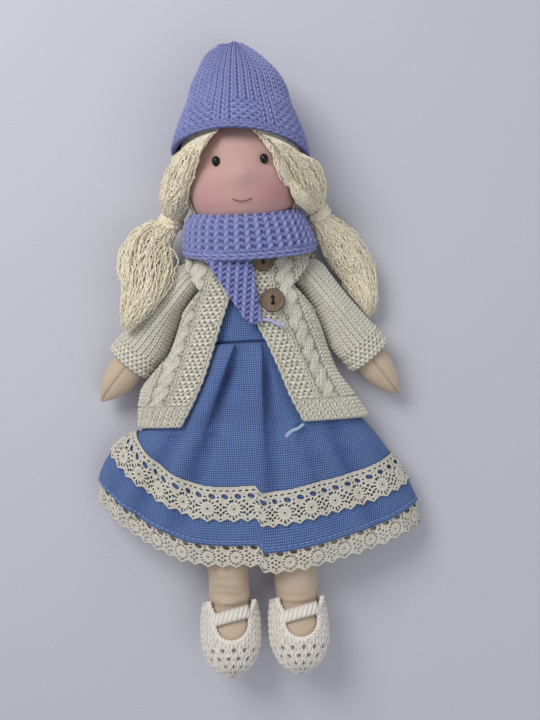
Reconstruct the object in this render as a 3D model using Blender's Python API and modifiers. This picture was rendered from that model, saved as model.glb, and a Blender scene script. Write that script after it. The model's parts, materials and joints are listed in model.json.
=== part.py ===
"""A soft waldorf doll in knitted clothes, lying on its back.

Metres. +Z is up and away from the doll's back, +Y runs from its feet to its head, and +X is its own left.
Every piece is laid out along the doll's middle line, with the waist seam at Y = 0 and the surface that the
doll lies on at Z = 0. The last step moves the whole doll so that the middle of its underside is the origin.
"""

import math

import bmesh
import bpy
import numpy
from mathutils import Matrix, Vector

# Clearances
GAP = 0.0004  # between soft pieces that touch
TURN_GAP = 0.0006  # between pieces that turn or slide against each other
OVERRUN = 0.02  # how far a cutter runs past what it cuts

# Cloth, knit and yarn
SKIN_CLOTH = 0.0007
DRESS_CLOTH = 0.0009
PETTICOAT_CLOTH = 0.0007
LACE = 0.0008
CARDIGAN_KNIT = 0.0022
HAT_KNIT = 0.0024
SCARF_KNIT = 0.0045
SHOE_CROCHET = 0.0022
HAIR_CAP = 0.0014
YARN_RADIUS = 0.0008
THREAD_RADIUS = 0.0004

# Levels above the table, one layer on the next
DRESS_FLOOR = CARDIGAN_KNIT + 2 * GAP
TORSO_FLOOR = DRESS_FLOOR + DRESS_CLOTH + GAP + PETTICOAT_CLOTH + GAP
HAIR_FLOOR = HAT_KNIT + GAP
HEAD_FLOOR = HAIR_FLOOR + HAIR_CAP + GAP
HEM_FLOOR = LACE + GAP

# Head and neck
NECK_FOOT_Y = 0.044
HEAD_LENGTH = 0.082
HEAD_WIDTH = 0.0544
HEAD_DEPTH = 0.0565
HEAD_ROWS_SHARES = (
    (0.00, 0.37, 0.37, 0.18, 0.49),
    (0.11, 0.39, 0.39, 0.17, 0.50),
    (0.16, 0.46, 0.46, 0.14, 0.62),
    (0.21, 0.70, 0.70, 0.10, 0.84),
    (0.27, 0.86, 0.86, 0.05, 0.93),
    (0.35, 0.97, 0.97, 0.01, 0.98),
    (0.44, 1.00, 1.00, -0.02, 1.00),
    (0.54, 0.99, 0.99, -0.02, 0.99),
    (0.65, 0.955, 0.955, -0.01, 0.955),
    (0.76, 0.865, 0.865, 0.03, 0.885),
    (0.85, 0.72, 0.72, 0.09, 0.80),
    (0.93, 0.53, 0.53, 0.17, 0.70),
    (0.975, 0.33, 0.33, 0.26, 0.61),
    (1.00, 0.15, 0.15, 0.35, 0.52),
)
NOSE_RADIUS = 0.0055
NOSE_HEIGHT = 0.0022
NOSE_Y_SHARE = 0.44
EYE_RADIUS = 0.0020
EYE_SPACING = 0.0234
EYE_Y_SHARE = 0.53
EYE_SINK_SHARE = 0.35
MOUTH_WIDTH = 0.0100
MOUTH_DROP = 0.0014
MOUTH_Y_SHARE = 0.30

# Hair
HAIR_CAP_ROWS = (4, 12)  # the head rows between which the cap lies
HAIRLINE_SHARES = (
    (0.70, 0.10),
    (0.70, 0.50),
    (0.44, 0.60),
    (0.30, 0.67),
    (0.12, 0.705),
    (0.00, 0.715),
)
CURTAIN_ROWS_SHARES = (
    (0.06, 0.73, 1.03, 0.20, 0.04),
    (0.26, 0.72, 0.97, 0.28, 0.06),
    (0.47, 0.66, 0.83, 0.36, 0.09),
    (0.585, 0.55, 0.67, 0.42, 0.14),
    (0.635, 0.41, 0.52, 0.38, 0.155),
    (0.69, 0.305, 0.39, 0.19, 0.095),
    (0.725, 0.26, 0.36, 0.15, 0.078),
)
TIE_RADIUS = 0.0060
TIE_YARN_RADIUS = 0.0009
PIGTAIL_LENGTH = 0.056
PIGTAIL_WIDTH = 0.026
PIGTAIL_DEPTH = 0.014
RIGHT_PIGTAIL_ROWS_SHARES = (
    (0.00, -0.03, 0.00, 0.33, 0.62),
    (-0.17, -0.18, 0.03, 0.85, 1.00),
    (-0.24, -0.40, 0.12, 1.00, 1.00),
    (-0.26, -0.61, 0.20, 0.80, 0.85),
    (-0.36, -0.83, 0.20, 0.45, 0.60),
    (-0.46, -1.00, 0.14, 0.12, 0.20),
)
LEFT_PIGTAIL_ROWS_SHARES = (
    (0.00, -0.03, 0.00, 0.33, 0.62),
    (0.12, -0.18, -0.08, 0.62, 1.00),
    (0.25, -0.38, -0.13, 0.70, 1.00),
    (0.36, -0.59, -0.17, 0.62, 0.85),
    (0.42, -0.81, -0.18, 0.40, 0.60),
    (0.42, -0.99, -0.20, 0.12, 0.20),
)

# Torso
TORSO_FOOT_Y = -0.0452
TORSO_LENGTH = 0.0952
TORSO_WIDTH = 0.060
TORSO_DEPTH = 0.0325
TORSO_ROWS_SHARES = (
    (0.00, 0.86, 0.86, 0.12, 0.70),
    (0.06, 0.98, 0.98, 0.00, 0.83),
    (0.26, 1.00, 1.00, -0.04, 0.92),
    (0.48, 0.95, 0.95, -0.04, 0.97),
    (0.69, 0.85, 0.85, -0.04, 1.00),
    (0.80, 0.66, 0.66, -0.03, 1.00),
    (0.90, 0.55, 0.55, 0.05, 0.97),
    (1.00, 0.45, 0.45, 0.16, 0.90),
)
WAIST_ROW = 3  # the torso row at the waist seam

# Dress
SKIRT_LENGTH = 0.107
SKIRT_WIDTH = 0.1725
SKIRT_DEPTH = 0.0394
SKIRT_TOP_SHARE = 0.006
UNDER_CARDIGAN_SHARES = (0.985, 0.95, 0.88, 0.84)  # of the cardigan's inside, from its hem up
SKIRT_ROWS_SHARES = (  # by the share of the way from the cardigan's hem to the skirt's
    (0.197, 0.82, 0.74, -0.20, 0.88),
    (0.532, 0.935, 0.86, -0.28, 0.89),
    (0.833, 0.99, 0.95, -0.30, 0.89),
    (1.000, 1.01, 0.99, -0.30, 0.89),
)
RIGHT_SIDE_LIFT = 0.037  # how far the hem rises at the doll's right side
LEFT_SIDE_LIFT = 0.017
SIDE_LIFT_POWER = 2.5  # how closely the rise keeps to the sides
SKIRT_FOLDS = 4
FOLD_DEPTH = 0.0035
SKIRT_LACE_ROWS = (-3, -1)  # the skirt rows between which its lace lies
PETTICOAT_LACE_WIDTH = 0.0150
PETTICOAT_LACE_COVER = 0.0030

# Cardigan
CARDIGAN_TOP_Y = 0.051
CARDIGAN_LENGTH = 0.094
CARDIGAN_HEM_Y = CARDIGAN_TOP_Y - CARDIGAN_LENGTH
CARDIGAN_WIDTH = 0.124
CARDIGAN_DEPTH = 0.0435
CARDIGAN_ROWS_SHARES = (
    (0.00, 1.03, 0.97, -0.16, 0.87),
    (0.14, 0.99, 0.85, -0.14, 0.92),
    (0.29, 0.92, 0.72, -0.12, 0.955),
    (0.41, 0.87, 0.66, -0.10, 0.965),
    (0.62, 0.80, 0.66, -0.10, 0.99),
    (0.78, 0.72, 0.68, -0.10, 1.00),
    (0.88, 0.62, 0.64, -0.08, 0.99),
    (0.96, 0.48, 0.50, 0.00, 0.94),
    (1.00, 0.36, 0.36, 0.05, 0.90),
)
RIGHT_EDGE_SHARES = (-0.62, -0.49, -0.38, -0.31, -0.19, -0.09, -0.05, -0.04, -0.04)
LEFT_EDGE_SHARES = (0.40, 0.30, 0.22, 0.15, 0.01, -0.03, -0.03, -0.03, -0.03)

# Buttons
BUTTON_RADIUS = 0.0060
BUTTON_THICKNESS = 0.0022
BUTTON_EDGE = 0.0004
BUTTON_HOLE_RADIUS = 0.0008
BUTTON_HOLE_SPACING = 0.0030
LOWER_BUTTON_X = 0.0124
UPPER_BUTTON_X = 0.0086
LOWER_BUTTON_SHARE = 0.665
UPPER_BUTTON_SHARE = 0.865

# Scarf
SCARF_TOP_Y = 0.063
SCARF_DROP = 0.023
SCARF_WIDTH = 0.068
SCARF_DEPTH = 0.0550
SCARF_BACK_RISE = 0.013
SCARF_ROWS_SHARES = (
    (0.00, 0.79, 0.84, -0.05, 0.95),
    (0.20, 0.90, 0.92, -0.08, 1.00),
    (0.50, 0.95, 1.01, -0.08, 1.01),
    (0.80, 0.965, 1.07, -0.05, 0.99),
    (1.00, 0.955, 1.07, -0.02, 0.965),
)
TAIL_PAST_BUTTON = 0.0065  # from the lower button's edge to the tail's tip
TAIL_THICKNESS = 0.0030
TAIL_TOP_WIDTH = 0.025
TAIL_TIP_WIDTH = 0.0085
TAIL_TOP_X = -0.0095
TAIL_TIP_X = 0.0025
TAIL_LIFT = 0.0025
YARN_END_LENGTH = 0.010
SCARF_END_SHARES = ((0.06, -0.12), (0.35, -0.05), (0.7, 0.12), (1.05, 0.28))  # sideways, down
CARDIGAN_END_SHARES = ((0.0, 0.12), (0.3, 0.32), (0.65, 0.45), (0.95, 0.70))

# Hat
HAT_BRIM_Y = 0.096
HAT_LENGTH = 0.059
HAT_WIDTH = 0.0725
HAT_DEPTH = 0.0660
HAT_TILT_SHARE = 0.09
HAT_FRONT_RISE = 0.005
HAT_ROWS_SHARES = (
    (0.00, 1.00, 1.00, -0.05, 1.00),
    (0.13, 0.93, 0.95, -0.05, 0.99),
    (0.27, 0.845, 0.87, -0.05, 0.95),
    (0.44, 0.74, 0.77, -0.03, 0.865),
    (0.60, 0.68, 0.71, 0.00, 0.77),
    (0.74, 0.58, 0.58, 0.06, 0.67),
    (0.86, 0.44, 0.43, 0.14, 0.57),
    (0.94, 0.28, 0.27, 0.21, 0.49),
    (1.00, 0.12, 0.11, 0.28, 0.42),
)

# Arms
SHOULDER_Y = 0.030
SHOULDER_Z = 0.0195
SHOULDER_SPACING = 0.062
RIGHT_ARM_SPREAD_DEGREES = 42.0
LEFT_ARM_SPREAD_DEGREES = 37.0
ARM_SLOPE_DEGREES = 6.0
ARM_SWING_DEGREES = 60.0
SLEEVE_LENGTH = 0.0525
SLEEVE_RADIUS = 0.0125
SLEEVE_DEPTH_SHARE = 0.90
CUFF_LENGTH = 0.0100
CUFF_ROLL = 0.0008
ARMHOLE_INSET = 0.0052
ARMPIT = 0.035
HAND_LENGTH = 0.0245
HAND_ROWS_SHARES = (
    (0.00, 1.00),
    (0.30, 0.98),
    (0.55, 0.82),
    (0.78, 0.57),
    (0.92, 0.34),
    (1.00, 0.14),
)
DOME_DEGREES = (78, 50, 22)

# Legs and feet
HIP_Y = -0.057
HIP_Z = 0.0163
LEG_SPACING = 0.036
LEG_MIDDLE_X = -0.001
LEG_WIDTH = 0.0220
LEG_SWING_DEGREES = 75.0
ANKLE_DISTANCE = 0.081
FOOT_LENGTH = 0.039
FOOT_WIDTH = 0.0266
FOOT_DEPTH = 0.0212
FOOT_RISE_DEGREES = 20.0
LEG_ROWS_SHARES = (
    (-0.135, 0.28),
    (-0.12, 0.58),
    (-0.08, 0.88),
    (0.00, 1.02),
    (0.30, 1.00),
    (0.65, 0.95),
    (0.90, 0.97),
)
FOOT_ROWS_SHARES = (
    (0.04, 0.84, 0.97),
    (0.22, 0.93, 0.99),
    (0.46, 1.00, 1.00),
    (0.68, 0.94, 0.94),
    (0.84, 0.75, 0.77),
    (0.95, 0.48, 0.50),
    (1.00, 0.22, 0.24),
)
SHOE_RIM_SHARE = 0.02
SHOE_OPENING_WIDTH = 0.0185
SHOE_OPENING_SHARE = 0.56
STRAP_FROM_SHARE = 0.15
STRAP_TO_SHARE = 0.28

# Counts of points round a section
BODY_POINTS = 18
LIMB_POINTS = 10
SHOE_POINTS = 12
SKIRT_POINTS = 32
KNIT_POINTS = 20
PANEL_POINTS = 7
BUTTON_POINTS = 12
CUTTER_POINTS = 32
HOLE_POINTS = 8
EYE_POINTS = (10, 6)
TIE_POINTS = (14, 6)
MOUTH_STEPS = 6
TAIL_STEPS = 6
STRAP_STEPS = 8
OPENING_STEPS = 8
BALL_STEPS = 6
WEDGE_STEPS = 8
TURN_POINTS = 24

# How shapes are worked out
SMOOTH_TO_DEGREES = 50  # edges that turn more than this stay sharp
SAME_WAY_SHARE = 0.15  # faces that differ by less count as one when a surface is moved out

MATERIALS = {
    "skin_cloth": ((0.72, 0.58, 0.47), 0.85),
    "face_cloth": ((0.73, 0.52, 0.48), 0.85),
    "wool_filling": ((0.85, 0.81, 0.72), 0.95),
    "hair_yarn": ((0.78, 0.68, 0.52), 0.90),
    "blue_knit": ((0.30, 0.32, 0.62), 0.92),
    "cream_knit": ((0.66, 0.62, 0.53), 0.92),
    "blue_cotton": ((0.13, 0.22, 0.46), 0.88),
    "cotton_lace": ((0.68, 0.63, 0.52), 0.90),
    "white_cotton": ((0.74, 0.71, 0.64), 0.90),
    "shoe_cotton": ((0.70, 0.64, 0.58), 0.92),
    "wood": ((0.20, 0.12, 0.07), 0.60),
    "black_bead": ((0.01, 0.01, 0.01), 0.25),
    "red_thread": ((0.45, 0.06, 0.06), 0.80),
    "dark_thread": ((0.03, 0.02, 0.02), 0.85),
    "blue_yarn": ((0.32, 0.34, 0.64), 0.92),
    "cream_yarn": ((0.66, 0.68, 0.72), 0.92),
}


def clear_scene():
    for thing in list(bpy.data.objects):
        bpy.data.objects.remove(thing, do_unlink=True)


def new_collection(name):
    made = bpy.data.collections.new(name)
    bpy.context.scene.collection.children.link(made)
    return made


clear_scene()
DOLL = new_collection("waldorf_doll")
CUTTERS = new_collection("cutters")


def material(name):
    found = bpy.data.materials.get(name)
    if found:
        return found
    colour, roughness = MATERIALS[name]
    made = bpy.data.materials.new(name)
    made.use_nodes = True
    shader = made.node_tree.nodes["Principled BSDF"]
    shader.inputs["Base Color"].default_value = (*colour, 1)
    shader.inputs["Roughness"].default_value = roughness
    shader.inputs["Metallic"].default_value = 0
    return made


def put(name, mesh, finish=None, parent=None):
    """Make an object of a mesh: a part if it has a finish, and otherwise a cutter."""
    thing = bpy.data.objects.new(name, mesh)
    if finish:
        DOLL.objects.link(thing)
        mesh.materials.append(material(finish))
        mesh.shade_smooth()
        mesh.set_sharp_from_angle(angle=math.radians(SMOOTH_TO_DEGREES))
    else:
        CUTTERS.objects.link(thing)
        thing.hide_render = True
        thing.display_type = "WIRE"
    thing.parent = parent
    return thing


def empty(name, place, turn=(0, 0, 0), parent=None):
    made = bpy.data.objects.new(name, None)
    DOLL.objects.link(made)
    made.location = place
    made.rotation_euler = turn
    made.parent = parent
    return made


def span(shape, low, high, closed=True):
    """Faces between two rows of points."""
    count = len(low)
    for i in range(count if closed else count - 1):
        j = (i + 1) % count
        shape.faces.new((low[i], low[j], high[j]))
        shape.faces.new((low[i], high[j], high[i]))


def finished(shape, name):
    bmesh.ops.recalc_face_normals(shape, faces=shape.faces)
    if shape.calc_volume(signed=True) < 0:
        bmesh.ops.reverse_faces(shape, faces=shape.faces)
    mesh = bpy.data.meshes.new(name)
    shape.to_mesh(mesh)
    shape.free()
    return mesh


def loft(name, rings):
    """A solid through rings of as many points each."""
    shape = bmesh.new()
    rows = [[shape.verts.new(point) for point in ring] for ring in rings]
    for low, high in zip(rows, rows[1:]):
        span(shape, low, high)
    shape.faces.new(rows[0])
    shape.faces.new(rows[-1])
    return finished(shape, name)


def shell(name, outer, inner, closed=True, end_cap=False):
    """A wall between two nested lofts. It is open at its start, and closed at its end if that has a cap."""
    shape = bmesh.new()
    walls = [[[shape.verts.new(point) for point in ring] for ring in rings] for rings in (outer, inner)]
    for rows in walls:
        for low, high in zip(rows, rows[1:]):
            span(shape, low, high, closed)
        if end_cap:
            shape.faces.new(rows[-1])
    for row in (0,) if end_cap else (0, -1):
        span(shape, walls[0][row], walls[1][row], closed)
    for i in () if closed else (0, -1):
        span(shape, [row[i] for row in walls[0]], [row[i] for row in walls[1]], False)
    return finished(shape, name)


def side_normals(rings):
    """The outward normal of every face between the rings, by row and place."""
    normals = {}
    count = len(rings[0])
    for row, (low, high) in enumerate(zip(rings, rings[1:])):
        middle = sum(low + high, Vector()) / (2 * count)
        for i in range(count):
            j = (i + 1) % count
            normal = (high[j] - low[i]).cross(high[i] - low[j]).normalized()
            centre = (low[i] + low[j] + high[i] + high[j]) / 4
            normals[row, i] = normal if normal.dot(centre - middle) > 0 else -normal
    return normals


def swell(rings, distance, start_cap=False, end_cap=False):
    """The same rings moved out of their surface by a distance, or into it if that is negative."""
    normals = side_normals(rings)
    count = len(rings[0])
    last = len(rings) - 1
    moved = []
    for row, ring in enumerate(rings):
        points = []
        for i, point in enumerate(ring):
            near = [(row - 1, i - 1), (row - 1, i), (row, i - 1), (row, i)]
            found = [normals[r, c % count] for r, c in near if (r, c % count) in normals]
            if (row == 0 and start_cap) or (row == last and end_cap):
                way = point - rings[1][i] if row == 0 else point - rings[-2][i]
                found.append(Vector((0, math.copysign(1, way.y), 0)))
            goals = numpy.full(len(found), distance)
            step = numpy.linalg.lstsq(numpy.array([tuple(n) for n in found]), goals, rcond=SAME_WAY_SHARE)[0]
            points.append(point + Vector(step))
        moved.append(points)
    return moved


def cut(thing, *cutters):
    for cutter in cutters:
        step = thing.modifiers.new("cut", "BOOLEAN")
        step.operation = "DIFFERENCE"
        step.solver = "EXACT"
        step.object = cutter
    return thing


def join(thing, other):
    step = thing.modifiers.new("join", "BOOLEAN")
    step.operation = "UNION"
    step.solver = "EXACT"
    step.object = other
    return thing


def lying_ring(y, row, width, depth, floor, grow=0.0, angles=None, points=BODY_POINTS):
    """One section across the doll, flattened where it lies on what is under it."""
    _, left, right, low, top = row
    left_half = width / 2 * left + grow
    right_half = width / 2 * right + grow
    low_z = floor + depth * low - grow
    top_z = floor + depth * top + grow
    middle, half = (low_z + top_z) / 2, (top_z - low_z) / 2
    ring = []
    for angle in angles or [math.tau * i / points for i in range(points)]:
        side = math.cos(angle)
        x = side * (right_half if side > 0 else left_half)
        z = max(floor - grow, middle + half * math.sin(angle))
        ring.append(Vector((x, y, z)))
    return ring


def row_at(rows, share):
    """A row between two rows of a table of shares."""
    if share <= rows[0][0]:
        return rows[0]
    for low, high in zip(rows, rows[1:]):
        if share <= high[0]:
            part = (share - low[0]) / (high[0] - low[0])
            return tuple(a + (b - a) * part for a, b in zip(low, high))
    return rows[-1]


def form_rings(start, length, width, depth, floor, rows):
    return [lying_ring(start + length * row[0], row, width, depth, floor) for row in rows]


def head_rings():
    rings = form_rings(NECK_FOOT_Y, HEAD_LENGTH, HEAD_WIDTH, HEAD_DEPTH, HEAD_FLOOR, HEAD_ROWS_SHARES)
    nose_y = NECK_FOOT_Y + HEAD_LENGTH * NOSE_Y_SHARE
    for ring in rings:
        for point in ring:
            away = math.hypot(point.x, point.y - nose_y)
            if point.z > HEAD_FLOOR + HEAD_DEPTH / 2 and away < NOSE_RADIUS:
                point.z += NOSE_HEIGHT * (1 - away / NOSE_RADIUS)
    return rings


def torso_rings():
    return form_rings(
        TORSO_FOOT_Y, TORSO_LENGTH, TORSO_WIDTH, TORSO_DEPTH, TORSO_FLOOR, TORSO_ROWS_SHARES
    )


def head_surface(x, y_share):
    """The height of the face's front at a distance from its middle line."""
    row = row_at(HEAD_ROWS_SHARES, y_share)
    half_width = HEAD_WIDTH / 2 * row[1]
    low = HEAD_FLOOR + HEAD_DEPTH * row[3]
    top = HEAD_FLOOR + HEAD_DEPTH * row[4]
    return (low + top) / 2 + (top - low) / 2 * math.sqrt(1 - (x / half_width) ** 2)


def make_head():
    rings = head_rings()
    skin = shell("head_skin", rings, swell(rings, -SKIN_CLOTH, end_cap=True), end_cap=True)
    put("head_skin", skin, "face_cloth")
    inside = swell(rings, -(SKIN_CLOTH + GAP), end_cap=True)
    put("head_wool", loft("head_wool", inside), "wool_filling")

    around_head = put("around_head", loft("around_head", swell(rings, GAP, end_cap=True)))
    eye_y = NECK_FOOT_Y + HEAD_LENGTH * EYE_Y_SHARE
    for name, side in (("right_eye", -1), ("left_eye", 1)):
        x = side * EYE_SPACING / 2
        bead = bpy.data.meshes.new(name)
        shape = bmesh.new()
        around, along = EYE_POINTS
        bmesh.ops.create_uvsphere(shape, u_segments=around, v_segments=along, radius=EYE_RADIUS)
        shape.to_mesh(bead)
        shape.free()
        eye = put(name, bead, "black_bead")
        eye.location = (x, eye_y, head_surface(x, EYE_Y_SHARE) + EYE_RADIUS * EYE_SINK_SHARE)
        cut(eye, around_head)
    make_mouth()
    return around_head


def tube(name, points, radius, finish):
    """A thread or yarn along a few points."""
    curve = bpy.data.curves.new(name, "CURVE")
    curve.dimensions = "3D"
    curve.bevel_depth = radius
    curve.bevel_resolution = 1
    curve.use_fill_caps = True
    line = curve.splines.new("POLY")
    line.points.add(len(points) - 1)
    for point, place in zip(line.points, points):
        point.co = (*place, 1)
    thing = bpy.data.objects.new(name, curve)
    DOLL.objects.link(thing)
    curve.materials.append(material(finish))


def make_mouth():
    points = []
    for i in range(MOUTH_STEPS + 1):
        part = 2 * i / MOUTH_STEPS - 1
        x = MOUTH_WIDTH / 2 * part
        share = MOUTH_Y_SHARE + MOUTH_DROP / HEAD_LENGTH * (part**2 - 1)
        z = head_surface(x, share) + THREAD_RADIUS + GAP
        points.append((x, NECK_FOOT_Y + HEAD_LENGTH * share, z))
    tube("mouth_stitch", points, THREAD_RADIUS, "red_thread")


def make_torso():
    """The body's cloth bag, open at the neck, and its wool."""
    rings = torso_rings()
    inside = swell(rings, -SKIN_CLOTH, start_cap=True)
    put("torso_skin", shell("torso_skin", rings[::-1], inside[::-1], end_cap=True), "skin_cloth")
    filled = swell(rings, -(SKIN_CLOTH + 2 * GAP), start_cap=True)
    below, above = filled[-2:]
    part = (NECK_FOOT_Y - GAP - below[0].y) / (above[0].y - below[0].y)
    filled[-1] = [a.lerp(b, part) for a, b in zip(below, above)]
    put("torso_wool", loft("torso_wool", filled), "wool_filling")


def make_bodice():
    rings = torso_rings()
    outer, inner = (swell(rings, grow)[WAIST_ROW:] for grow in (GAP + DRESS_CLOTH, GAP))
    put("bodice", shell("bodice", outer, inner), "blue_cotton")


def skirt_below_cardigan():
    return SKIRT_LENGTH + CARDIGAN_HEM_Y


def skirt_rings():
    """The skirt's outside from the waist to the hem. Under the cardigan it follows the cardigan's inside."""
    angles = [math.tau * i / SKIRT_POINTS for i in range(SKIRT_POINTS)]
    around_torso = DRESS_CLOTH + PETTICOAT_CLOTH + 2 * GAP
    row = TORSO_ROWS_SHARES[WAIST_ROW]
    waist_y = -SKIRT_LENGTH * SKIRT_TOP_SHARE
    rings = [lying_ring(waist_y, row, TORSO_WIDTH, TORSO_DEPTH, TORSO_FLOOR, around_torso, angles)]
    inside = -(CARDIGAN_KNIT + 2 * GAP)
    under = list(zip(CARDIGAN_ROWS_SHARES, UNDER_CARDIGAN_SHARES))
    for row, share in reversed(under):
        y = CARDIGAN_HEM_Y + CARDIGAN_LENGTH * row[0]
        ring = lying_ring(y, row, CARDIGAN_WIDTH, CARDIGAN_DEPTH, 0.0, inside, angles)
        rings.append([Vector((p.x * share, p.y, p.z)) for p in ring])
    for row in SKIRT_ROWS_SHARES:
        part = row[0]
        y = CARDIGAN_HEM_Y - skirt_below_cardigan() * part
        ring = lying_ring(y, row, SKIRT_WIDTH, SKIRT_DEPTH, HEM_FLOOR, 0.0, angles)
        for angle, point in zip(angles, ring):
            if math.sin(angle) > 0:
                wave = (1 - math.cos(2 * SKIRT_FOLDS * angle)) / 2
                point.z -= FOLD_DEPTH * part * wave * math.sin(angle)
            lift = LEFT_SIDE_LIFT if point.x > 0 else RIGHT_SIDE_LIFT
            point.y += lift * abs(math.cos(angle)) ** SIDE_LIFT_POWER * part
        rings.append(ring)
    return rings


def make_skirt():
    """The skirt and the petticoat under it, each with its lace, one layer inside the next."""
    rings = skirt_rings()
    put("skirt", shell("skirt", rings, swell(rings, -DRESS_CLOTH)), "blue_cotton")
    first, last = SKIRT_LACE_ROWS
    outer, inner = (swell(rings, grow)[first:last] for grow in (GAP + LACE, GAP))
    put("skirt_lace", shell("skirt_lace", outer, inner), "cotton_lace")

    under = -(DRESS_CLOTH + GAP)
    covered = PETTICOAT_LACE_COVER / (skirt_below_cardigan() * (1 - SKIRT_ROWS_SHARES[-2][0]))
    walls = []
    for grow in (under, under - LACE):
        above, hem = swell(rings, grow)[-2:]
        start = [b.lerp(a, covered) for a, b in zip(above, hem)]
        drop = Vector((0, PETTICOAT_LACE_WIDTH - PETTICOAT_LACE_COVER, 0))
        walls.append([start, hem, [point - drop for point in hem]])
    put("petticoat_lace", shell("petticoat_lace", *walls), "cotton_lace")

    walls = []
    for grow in (under, under - PETTICOAT_CLOTH):
        walls.append(swell(rings, grow)[:-2] + swell(rings, grow - LACE - GAP)[-2:])
    put("petticoat", shell("petticoat", *walls), "white_cotton")


def cardigan_ring(row, from_angle, to_angle, points, grow=0.0):
    angles = [from_angle + (to_angle - from_angle) * i / (points - 1) for i in range(points)]
    y = CARDIGAN_HEM_Y + CARDIGAN_LENGTH * row[0]
    return lying_ring(y, row, CARDIGAN_WIDTH, CARDIGAN_DEPTH, 0.0, grow, angles)


def make_cardigan(arm_cutters):
    seam = GAP / CARDIGAN_DEPTH
    walls = []
    for grow in (0, -CARDIGAN_KNIT):
        walls.append(
            [
                cardigan_ring(row, math.pi + seam, math.tau - seam, 2 * PANEL_POINTS, grow)
                for row in CARDIGAN_ROWS_SHARES
            ]
        )
    back = shell("cardigan_back", *walls, closed=False)
    cut(put("cardigan_back", back, "cream_knit"), *arm_cutters)
    for name, side, edges in (
        ("cardigan_right_front", -1, RIGHT_EDGE_SHARES),
        ("cardigan_left_front", 1, LEFT_EDGE_SHARES),
    ):
        walls = []
        for grow in (0, -CARDIGAN_KNIT):
            rings = []
            for row, edge in zip(CARDIGAN_ROWS_SHARES, edges):
                reach = row[2] if edge > 0 else row[1]
                stop = math.acos(edge / reach) - side * seam
                start = math.pi - seam if side < 0 else seam
                rings.append(cardigan_ring(row, start, stop, PANEL_POINTS, grow))
            walls.append(rings)
        cut(put(name, shell(name, *walls, closed=False), "cream_knit"), *arm_cutters)


def around_cardigan():
    rings = [
        cardigan_ring(row, 0, math.tau * (1 - 1 / CUTTER_POINTS), CUTTER_POINTS, 2 * GAP)
        for row in CARDIGAN_ROWS_SHARES
    ]
    return put("around_cardigan", loft("around_cardigan", rings))


def cardigan_top(x, share):
    row = row_at(CARDIGAN_ROWS_SHARES, share)
    half = CARDIGAN_WIDTH / 2 * (row[2] if x > 0 else row[1])
    low, top = CARDIGAN_DEPTH * row[3], CARDIGAN_DEPTH * row[4]
    return (low + top) / 2 + (top - low) / 2 * math.sqrt(1 - (x / half) ** 2)


def button_y(share):
    return CARDIGAN_HEM_Y + CARDIGAN_LENGTH * share


def disc(name, radius, height, points):
    shape = bmesh.new()
    bmesh.ops.create_cone(
        shape, cap_ends=True, segments=points, radius1=radius, radius2=radius, depth=height
    )
    mesh = bpy.data.meshes.new(name)
    shape.to_mesh(mesh)
    shape.free()
    return mesh


def make_button(name, x, share):
    """A button with two holes and its thread. It returns a cutter for the room that both take."""
    y = button_y(share)
    z = cardigan_top(x - BUTTON_RADIUS, share) + GAP
    middle = Vector((x, y, z + BUTTON_THICKNESS / 2))
    button = put(name, disc(name, BUTTON_RADIUS, BUTTON_THICKNESS, BUTTON_POINTS), "wood")
    button.location = middle
    edge = button.modifiers.new("edge", "BEVEL")
    edge.width = BUTTON_EDGE
    edge.segments = 1
    for side in (-1, 1):
        hole = disc(name + "_hole", BUTTON_HOLE_RADIUS, BUTTON_THICKNESS + OVERRUN, HOLE_POINTS)
        cutter = put(name + "_hole", hole)
        cutter.location = middle + Vector((0, side * BUTTON_HOLE_SPACING / 2, 0))
        cut(button, cutter)
    over = z + BUTTON_THICKNESS + THREAD_RADIUS + GAP / 4
    leg = BUTTON_HOLE_SPACING / 2
    points = [
        (x, y - leg, z + GAP),
        (x, y - leg, over - THREAD_RADIUS),
        (x, y - leg + THREAD_RADIUS, over),
        (x, y + leg - THREAD_RADIUS, over),
        (x, y + leg, over - THREAD_RADIUS),
        (x, y + leg, z + GAP),
    ]
    tube(name + "_thread", points, THREAD_RADIUS, "dark_thread")
    height = BUTTON_THICKNESS + 4 * THREAD_RADIUS + 2 * GAP
    room = put(name + "_room", disc(name + "_room", BUTTON_RADIUS + GAP, height, BUTTON_POINTS))
    room.location = (x, y, z - GAP + height / 2)
    return room


def scarf_ring(row, grow=0.0):
    ring = lying_ring(0, row, SCARF_WIDTH, SCARF_DEPTH, 0.0, grow, None, KNIT_POINTS)
    for i, point in enumerate(ring):
        back = (1 - math.sin(math.tau * i / KNIT_POINTS)) / 2
        point.y = SCARF_TOP_Y - (SCARF_DROP - SCARF_BACK_RISE * back) * row[0]
    return ring


def tail_tip_y():
    return button_y(LOWER_BUTTON_SHARE) - BUTTON_RADIUS - TAIL_PAST_BUTTON


def make_scarf(*cutters):
    walls = [[scarf_ring(row, grow) for row in SCARF_ROWS_SHARES] for grow in (0, -SCARF_KNIT)]
    scarf = put("scarf", shell("scarf", *walls), "blue_knit")
    tail_rings = []
    top_y = SCARF_TOP_Y - SCARF_DROP + TAIL_THICKNESS
    for i in range(TAIL_STEPS + 1):
        part = i / TAIL_STEPS
        y = top_y + (tail_tip_y() - top_y) * part
        x = TAIL_TOP_X + (TAIL_TIP_X - TAIL_TOP_X) * part
        half = (TAIL_TOP_WIDTH + (TAIL_TIP_WIDTH - TAIL_TOP_WIDTH) * part) / 2
        low = cardigan_top(0, (y - CARDIGAN_HEM_Y) / CARDIGAN_LENGTH) + GAP + TAIL_LIFT * (1 - part)
        high = low + TAIL_THICKNESS
        corners = ((x - half, y, low), (x + half, y, low), (x + half, y, high), (x - half, y, high))
        tail_rings.append([Vector(corner) for corner in corners])
    shape = loft("scarf_tail_shape", tail_rings)
    join(scarf, put("scarf_tail_shape", shape))
    cut(scarf, around_cardigan(), *cutters)


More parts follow.
